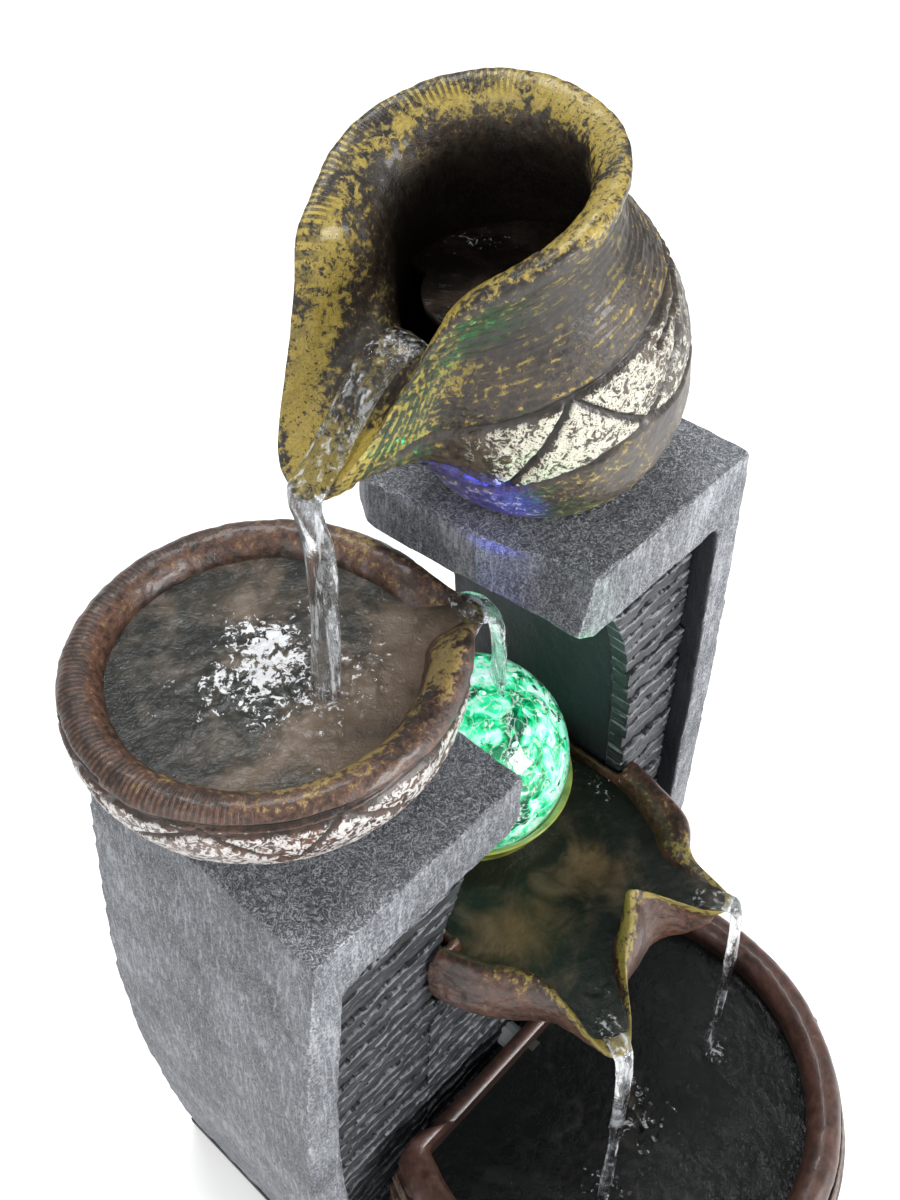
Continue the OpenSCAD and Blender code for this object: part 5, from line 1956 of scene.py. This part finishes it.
@dataclass
class Pond:
    """Standing water that fills a vessel to its level."""

    name: str
    centre: tuple[float, float]
    level: float
    walls: Sequence[bpy.types.Object]
    finish: Finishes
    reach: float = 60.0
    limits: Sequence[tuple[float, float, float]] = ()
    falls: Sequence[tuple[float, float, float]] = ()
    silt: Callable[[np.ndarray], np.ndarray] | None = None
    froth: float = 0.25
    thickness: float = 1.2
    rings: int = 90
    sides: int = 300
    seed: int = 90

    def shore(self) -> np.ndarray:
        """Distance from the centre to the wall in each direction."""
        trees = [
            BVHTree.FromPolygons([v.co for v in w.data.vertices], [p.vertices for p in w.data.polygons])
            for w in self.walls
        ]
        origin = Vector((self.centre[0], self.centre[1], self.level)) * MM
        found = []
        for k in range(self.sides):
            angle = 360 * k / self.sides
            way = Vector((math.cos(math.radians(angle)), math.sin(math.radians(angle)), 0))
            far = self.reach
            for middle, half, limit in self.limits:
                if abs((angle - middle + 180) % 360 - 180) < half:
                    far = min(far, limit)
            hits = [
                hit[3] / MM for hit in (tree.ray_cast(origin, way) for tree in trees) if hit[3] is not None
            ]
            found.append(min([far, *[hit + 0.35 for hit in hits]]))
        found_array = np.array(found)
        for _ in range(2):
            found_array = 0.5 * found_array + 0.25 * (np.roll(found_array, 1) + np.roll(found_array, -1))
        return found_array

    def build(self) -> bpy.types.Object:
        """Makes the rippled surface and its underside."""
        shore = self.shore()
        share = np.linspace(0, 1, self.rings + 1)[1:]
        angles = np.radians(np.arange(self.sides) * 360 / self.sides)
        x = self.centre[0] + share[:, None] * shore * np.cos(angles)
        y = self.centre[1] + share[:, None] * shore * np.sin(angles)
        flat = np.stack([x, y, np.full_like(x, self.level)], axis=-1)
        swirl = Grain.layers(flat, 5.5, 3, self.seed)
        chop = Grain.layers(flat, 1.8, 2, self.seed + 3)
        lift, foam = 0.16 * swirl + 0.07 * chop, self.froth * (0.5 + 0.5 * swirl)
        for fx, fy, power in self.falls:
            away = np.hypot(x - fx, y - fy)
            near = np.exp(-((away / (6.5 * power)) ** 2))
            lift = (
                lift + 0.16 * power * np.cos(away * 2 * np.pi / 2.7) * np.exp(-away / 5) + 0.55 * near * chop
            )
            foam = foam + 0.5 * np.exp(-((away / (13 * power)) ** 2)) * (0.75 + 0.5 * swirl)
        fade = 1 - ease(share, 0.9, 1.0)[:, None] * 0.7
        z = self.level + lift * fade
        murk = self.silt(flat) if self.silt else 0.5 + 0 * x
        rings, sides = self.rings, self.sides
        floor = np.stack([x[-1], y[-1], np.full(sides, self.level - self.thickness)], axis=-1)
        skin = np.stack([x, y, z], axis=-1)[::-1].reshape(-1, 3)
        middle = np.array([[*self.centre, self.level]])
        bottom = np.array([[*self.centre, self.level - self.thickness]])
        points = np.vstack([bottom, floor, skin, middle])
        masks = {
            key: np.concatenate([[0], np.zeros(sides), value[::-1].ravel(), [value[0].mean()]])
            for key, value in (("foam", foam + 0 * x), ("silt", murk + 0 * x))
        }
        piece = make_piece(self.name, points, ring_faces(rings + 1, sides), masks)
        return place(piece, self.finish, "clear_water")


@dataclass
class Stream:
    """Water that runs along a path: flat in a channel, rounder as it falls."""

    name: str
    path: Sequence[tuple[float, float, float]]
    widths: Sequence[float]
    depths: Sequence[float]
    across: tuple[float, float, float]
    ripple: float = 0.22
    sides: int = 28
    seed: int = 120

    def build(self) -> bpy.types.Object:
        """Sweeps the stream's section along its path."""
        path = np.array(self.path, dtype=float)
        length = np.concatenate([[0], np.cumsum(np.linalg.norm(np.diff(path, axis=0), axis=1))])
        count = max(24, int(length[-1] / 0.55))
        place_at = np.interp(np.linspace(0, length[-1], count), length, np.arange(len(path)))
        line = np.stack([self._curve(path[:, axis], place_at) for axis in range(3)], axis=-1)
        width = self._curve(np.array(self.widths, dtype=float), place_at)
        depth = self._curve(np.array(self.depths, dtype=float), place_at)
        ahead = np.gradient(line, axis=0)
        ahead /= np.linalg.norm(ahead, axis=1, keepdims=True)
        side = np.array(self.across, dtype=float)
        side = side - ahead * (ahead @ side)[:, None]
        side /= np.linalg.norm(side, axis=1, keepdims=True)
        up = np.cross(ahead, side)
        turn = np.arange(self.sides) * 2 * np.pi / self.sides
        spin = 0.12 * np.sin(place_at * 1.7)[:, None]
        ring = np.cos(turn + spin)[..., None] * side[:, None] * width[:, None, None] / 2
        ring = ring + np.sin(turn + spin)[..., None] * up[:, None] * depth[:, None, None] / 2
        grid = line[:, None] + ring
        outward = ring / np.maximum(np.linalg.norm(ring, axis=-1, keepdims=True), 1e-6)
        grid = grid + outward * (Grain.layers(grid, (1.7, 1.7, 6), 2, self.seed) * self.ripple)[..., None]
        points = np.vstack([grid[0].mean(axis=0), grid.reshape(-1, 3), grid[-1].mean(axis=0)])
        piece = make_piece(self.name, points, ring_faces(count, self.sides))
        mesh = bmesh.new()
        mesh.from_mesh(piece.data)
        bmesh.ops.recalc_face_normals(mesh, faces=mesh.faces[:])
        mesh.to_mesh(piece.data)
        mesh.free()
        return place(piece, Finishes.STREAM, "clear_water")

    @staticmethod
    def _curve(values: np.ndarray, where: np.ndarray) -> np.ndarray:
        """A smooth curve through evenly numbered values."""
        padded = np.concatenate([[2 * values[0] - values[1]], values, [2 * values[-1] - values[-2]]])
        i = np.clip(np.floor(where).astype(int), 0, len(values) - 2)
        f = where - i
        a, b, c, d = padded[i], padded[i + 1], padded[i + 2], padded[i + 3]
        return 0.5 * (
            2 * b + (c - a) * f + (2 * a - 5 * b + 4 * c - d) * f**2 + (3 * b - a - 3 * c + d) * f**3
        )


@dataclass
class Waterworks:
    """Every surface, stream and splash of the running fountain."""

    jug: Jug
    bowl: UpperBowl
    pool: LowerBowl
    shells: dict[str, Sequence[bpy.types.Object]]

    def build(self) -> None:
        """Fills the vessels and joins them with streams."""
        self._ponds()
        self._streams()
        self._splashes()

    def _ponds(self) -> None:
        """The four standing surfaces."""
        Pond(
            "jug_water_surface", (17.0, 14.6), 218.6, self.shells["jug"], Finishes.JUG_WATER, reach=24,
            limits=[(171, 62, 13.5)], falls=[(24, 27, 0.5)], froth=0.1, rings=50, sides=180, seed=91,
        ).build()
        Pond(
            "upper_bowl_water_surface", (BOWL_X, BOWL_Y), 161.6, self.shells["bowl"], Finishes.BOWL_WATER,
            reach=36.5,
            falls=[(-22.5, 18.1, 1.0), (-31, 30, 0.8), (-20, 34, 0.6)], froth=0.22, seed=94,
            silt=lambda p: 0.30 + 0.5 * ease(-p[..., 1], -30, -2) + 0.15 * ease(p[..., 0], -40, -10),
        ).build()
        Pond(
            "lower_bowl_water_surface", (6.5, -12.0), 102.7, self.shells["pool"], Finishes.POOL_WATER,
            reach=50,
            limits=[(-139, 30, 31.5), (-57, 26, 31.0)], falls=[(30, -2, 0.35), (-6, -30, 0.3)], froth=0.16,
            seed=97,
            silt=lambda p: 0.25 + 0.65 * np.exp(-(((p[..., 0] + 6) / 9) ** 2 + ((p[..., 1] + 12) / 7) ** 2))
            + 0.5 * np.exp(-(((p[..., 0] - 14) / 6) ** 2 + ((p[..., 1] + 14) / 6) ** 2)),
        ).build()
        Pond(
            "basin_water_surface", (BASIN_X, BASIN_Y), 42.6, self.shells["basin"], Finishes.BASIN_WATER,
            reach=60,
            falls=[(-14.5, -45.0, 0.55), (26.7, -43.2, 0.45), (3.6, -40.7, 0.5)], froth=0.13, seed=99,
            silt=lambda p: 0.05 + 0.35
            * np.exp(-(((p[..., 0] - 2) / 12) ** 2 + ((p[..., 1] + 38) / 9) ** 2)), rings=110,
        ).build()

    def _streams(self) -> None:
        """The falling water."""
        bed = ((17.4, -9), (16.6, -8.5), (15.6, -8), (14.6, -7), (13.5, -6), (12.4, -5.5))
        spout = [self._on(self.jug, step, angle, 0.75) for step, angle in bed]
        tip = spout[-1]
        Stream(
            "jug_stream", [
                *spout, (tip[0] - 1.9, tip[1] - 0.4, tip[2] - 2.5), (-21.2, 17.7, 192), (-21.7, 17.4, 176),
                (-22.5, 18.1, 161.2)
            ],
            [8.0, 7.6, 7.2, 6.8, 6.6, 6.8, 6.8, 6.4, 6.0, 6.6],
            [1.6, 1.6, 1.7, 1.8, 1.9, 2.2, 3.2, 3.4, 3.2, 3.4], (0.1, 1, 0),
        ).build()
        lip = self._on(self.bowl, 7.4, -27, 0.6)
        brink = self._on(self.bowl, 6.2, -27, 0.5)
        Stream(
            "bowl_stream", [
                lip, brink, (10.8, 11.6, 158.5), (13.2, 12.0, 150), (15.0, 13.2, 141), (16.2, 14.6, 133.0)
            ],
            [9, 8, 6.2, 5, 5, 7], [1.6, 1.8, 2.2, 2.4, 2.2, 1.2], (0.5, 1, 0), seed=126,
        ).build()
        for name, angle, seed in (("lip_stream_left", -115, 131), ("lip_stream_right", -65, 137)):
            channel = [self._on(self.pool, step, angle, 0.7) for step in (9.0, 8.2, 7.4, 6.7)]
            end = channel[-1]
            out = (math.cos(math.radians(angle)), math.sin(math.radians(angle)))
            fall = [
                (end[0] + out[0] * d, end[1] + out[1] * d, z) for d,
                z in ((1.6, end[2] - 2.4), (2.9, 88), (3.8, 66), (4.2, 42.2))
            ]
            Stream(
                name, [*channel, *fall], [5, 4.6, 4.2, 4.0, 3.6, 3.0, 2.4, 2.6],
                [1.5, 1.5, 1.6, 1.8, 2.2, 2.2, 2.0, 2.2],
                (-out[1], out[0], 0), seed=seed,
            ).build()

    def _splashes(self) -> None:
        """The loose drops."""
        for name, centre, spread, count, radius, seed in (
            ("bowl_spray", (-22.5, 18.1, 162.0), (7, 7, 2.4), 46, 0.42, 3),
            ("basin_spray", (3.6, -40.7, 43.0), (7, 6, 2.6), 44, 0.55, 5),
            ("lip_spray", (-14.5, -45.0, 43.0), (5, 5, 3.0), 26, 0.45, 7),
            ("pool_spray", (30.5, -4.0, 103.1), (4, 3, 1.6), 18, 0.4, 9),
        ):
            drops = Spray(name, centre, spread, count, radius, seed).build()
            place(drops, Finishes.SPLASH, "clear_water")

    @staticmethod
    def _on(vessel: Vessel, step: float, angle: float, above: float) -> tuple[float, float, float]:
        """A point above a vessel's skin."""
        at = np.array([float(angle)])
        radius, height = vessel.outline(np.array([step]), at)
        x, y, z = vessel.world(radius, height, at[None, :])[0, 0]
        return float(x), float(y), float(z) + above


# ---- the rest ----


@dataclass
class Carried:
    """CAD nodes that keep their own shape and take a finish."""

    nodes: dict[str, bpy.types.Object]

    FINISHES = {
        "base_pad": Finishes.PAD, "base_plate": Finishes.BLACK, "led_housing": Finishes.WHITE,
        "led_board": Finishes.LED,
        "led_lens": Finishes.LENS, "led_cable": Finishes.CABLE, "pump_body": Finishes.BLACK,
        "pump_cover": Finishes.BLACK,
        "impeller": Finishes.WHITE, "impeller_shaft": Finishes.STEEL, "flow_regulator": Finishes.DIAL,
        "suction_cups": Finishes.PAD, "pump_cable": Finishes.CABLE, "hose_grommet": Finishes.PAD,
        "riser_hose": Finishes.HOSE, "jug_nozzle": Finishes.BLACK, "lead_splice": Finishes.WHITE,
        "cable_gland": Finishes.BLACK,
    }

    def dress(self) -> None:
        """Assigns the finishes; the meshes stay as they are."""
        for name, finish in self.FINISHES.items():
            slots = self.nodes[name].material_slots
            for slot in slots:
                slot.material = finish.value.material()
            LOG.info("%s: CAD shape, %s", name, finish.name)


@dataclass
class Slates:
    """The three slate panels."""

    def build(self) -> None:
        """Makes and places them."""
        panels = (
            (
                SlatePanel("left_slate_courses", LOW_OUT.moved(POST_W + SEAM), LOW_IN, FLOOR_Z,
                    LOW_UNDER - SEAM, 30, 100, 4), "left_slate"
            ),
            (
                SlatePanel("centre_slate_courses", LOW_IN.moved(SEAM), TALL_IN.moved(-SEAM), DECK_Z, 83.0,
                    16, 170, 6), "centre_slate"
            ),
            (
                SlatePanel("right_slate_courses", TALL_IN, TALL_OUT.moved(-POST_W - SEAM), DECK_Z,
                    TALL_UNDER - SEAM, 36, 80, 9), "right_slate"
            ),
        )
        for panel, node in panels:
            place(panel.build(), Finishes.SLATE, "slate_resin", [node])


@dataclass
class Fasteners:
    """The screws of the base and of the hatch."""

    def build(self) -> None:
        """Makes and places both sets."""
        holes = [(-48, -46), (58, -47), (58, 40), (-17, 40), (36, 41)]
        base = ScrewSet("base_screw_heads", [(x, y, 1.8) for x, y in holes], (math.pi, 0.0, 0.0))
        hatch = ScrewSet("hatch_screw_heads", [(46, 43.6, 44), (46, 43.6, 106)], (-math.pi / 2, 0.0, 0.0))
        place(base.build(), Finishes.STEEL, "screw_steel", ["base_screws"])
        place(hatch.build(), Finishes.STEEL, "screw_steel", ["hatch_screws"])


@dataclass
class Studio:
    """Camera, pale floor and soft lights."""

    camera_at: tuple[float, float, float] = (-0.1059, -0.0857, 0.319)
    azimuth: float = -47.4
    elevation: float = 46.0
    lens: float = 38.4

    def camera(self) -> None:
        """The camera, looking down from the front left."""
        data = bpy.data.cameras.new("camera")
        data.sensor_width, data.lens, data.clip_start = 36, self.lens, 0.005
        camera = bpy.data.objects.new("camera", data)
        bpy.context.scene.collection.objects.link(camera)
        a, e = math.radians(self.azimuth), math.radians(self.elevation)
        back = Vector((math.sin(a) * math.cos(e), -math.cos(a) * math.cos(e), math.sin(e)))
        camera.location = self.camera_at
        camera.rotation_euler = back.to_track_quat("Z", "Y").to_euler()
        bpy.context.scene.camera = camera

    def floor(self) -> None:
        """A wide pale floor."""
        corners = np.array(
            [(-3000, -3000, -0.05), (3000, -3000, -0.05), (3000, 3000, -0.05), (-3000, 3000, -0.05)],
            dtype=float
        )
        floor = make_piece("studio_floor", corners, [(0, 1, 2, 3)])
        material = bpy.data.materials.new("pale_floor")
        material.use_nodes = True
        shader = material.node_tree.nodes["Principled BSDF"]
        shader.inputs["Base Color"].default_value = (0.93, 0.93, 0.93, 1)
        shader.inputs["Roughness"].default_value = 0.8
        shader.inputs["Emission Color"].default_value = (1, 1, 1, 1)
        shader.inputs["Emission Strength"].default_value = 0.35
        floor.data.materials.append(material)

    def lamp(
        self, name: str, kind: str, at: tuple[float, float, float], target: tuple[float, float, float],
        power: float,
        size: float, colour: tuple[float, float, float] = (1, 1, 1), cone: float = 60,
    ) -> None:
        """Adds a light.

        Args:
            name: Its name.
            kind: AREA, POINT or SPOT.
            at: Where it is, in metres.
            target: What it points at.
            power: Watts.
            size: Width, or radius for a point or spot.
            colour: Its colour.
            cone: Opening angle of a spot in degrees.
        """
        data = bpy.data.lights.new(name, kind)
        data.energy, data.color = power, colour
        if kind == "AREA":
            data.size = size
        else:
            data.shadow_soft_size = size
        if kind == "SPOT":
            data.spot_size, data.spot_blend = math.radians(cone), 0.6
        lamp = bpy.data.objects.new(name, data)
        lamp.location = at
        lamp.rotation_euler = (Vector(at) - Vector(target)).to_track_quat("Z", "Y").to_euler()
        lamp.visible_camera = False
        bpy.context.scene.collection.objects.link(lamp)

    def build(self) -> None:
        """Makes the studio."""
        self.camera()
        self.floor()
        world = bpy.data.worlds.new("studio")
        bpy.context.scene.world = world
        world.use_nodes = True
        sky = world.node_tree.nodes["Background"]
        sky.inputs["Color"].default_value = (1, 1, 1, 1)
        sky.inputs["Strength"].default_value = 0.50
        middle = (0.0, 0.0, 0.11)
        self.lamp("key_light", "AREA", (0.25, -0.85, 0.42), middle, 8.6, 0.35)
        self.lamp("left_light", "AREA", (-0.8, -0.15, 0.45), middle, 2.6, 0.5)
        self.lamp("top_light", "AREA", (0.1, 0.25, 0.9), middle, 3.6, 0.3)
        self.lamp("green_glow", "POINT", (0.006, -0.006, 0.138), middle, 0.0015, 0.004, (0.05, 1.0, 0.35))
        green, blue = (0.03, 1.0, 0.25), (0.02, 0.05, 1.0)
        for name, at, target, power, cone, colour in (
            ("belly_blue", (-0.019, -0.019, 0.166), (0.0049, 0.0092, 0.1890), 0.55, 30, blue),
            ("belly_green_near", (-0.011, -0.032, 0.168), (0.0125, -0.0010, 0.1875), 0.06, 18, green),
            ("belly_green_far", (-0.026, -0.008, 0.166), (0.0010, 0.0145, 0.1910), 0.02, 12, green),
            ("slab_blue", (-0.004, 0.002, 0.150), (0.006, 0.012, 0.168), 0.012, 60, blue),
            ("slab_green", (0.010, -0.012, 0.148), (0.011, -0.002, 0.167), 0.02, 60, green),
        ):
            self.lamp(name, "SPOT", at, target, power, 0.002, colour, cone)


def main() -> None:
    """Builds the fountain round its frame, piece by piece."""
    logging.basicConfig(level=logging.INFO, format="%(name)s %(message)s")
    bpy.context.scene.view_settings.view_transform = "Standard"
    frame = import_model()
    Studio().build()
    Carried(frame["nodes"]).dress()
    Pillars(frame["nodes"]).build()
    Slates().build()
    Fasteners().build()
    jug, bowl, pool = Jug(), UpperBowl(), LowerBowl()
    shells = {
        "jug": [jug.build()], "bowl": [bowl.build()], "pool": list(pool.build()), "basin": [Basin().build()]
    }
    CrystalBall().build()
    BallCup().build()
    Waterworks(jug, bowl, pool, shells).build()


if __name__ == "__main__":
    main()
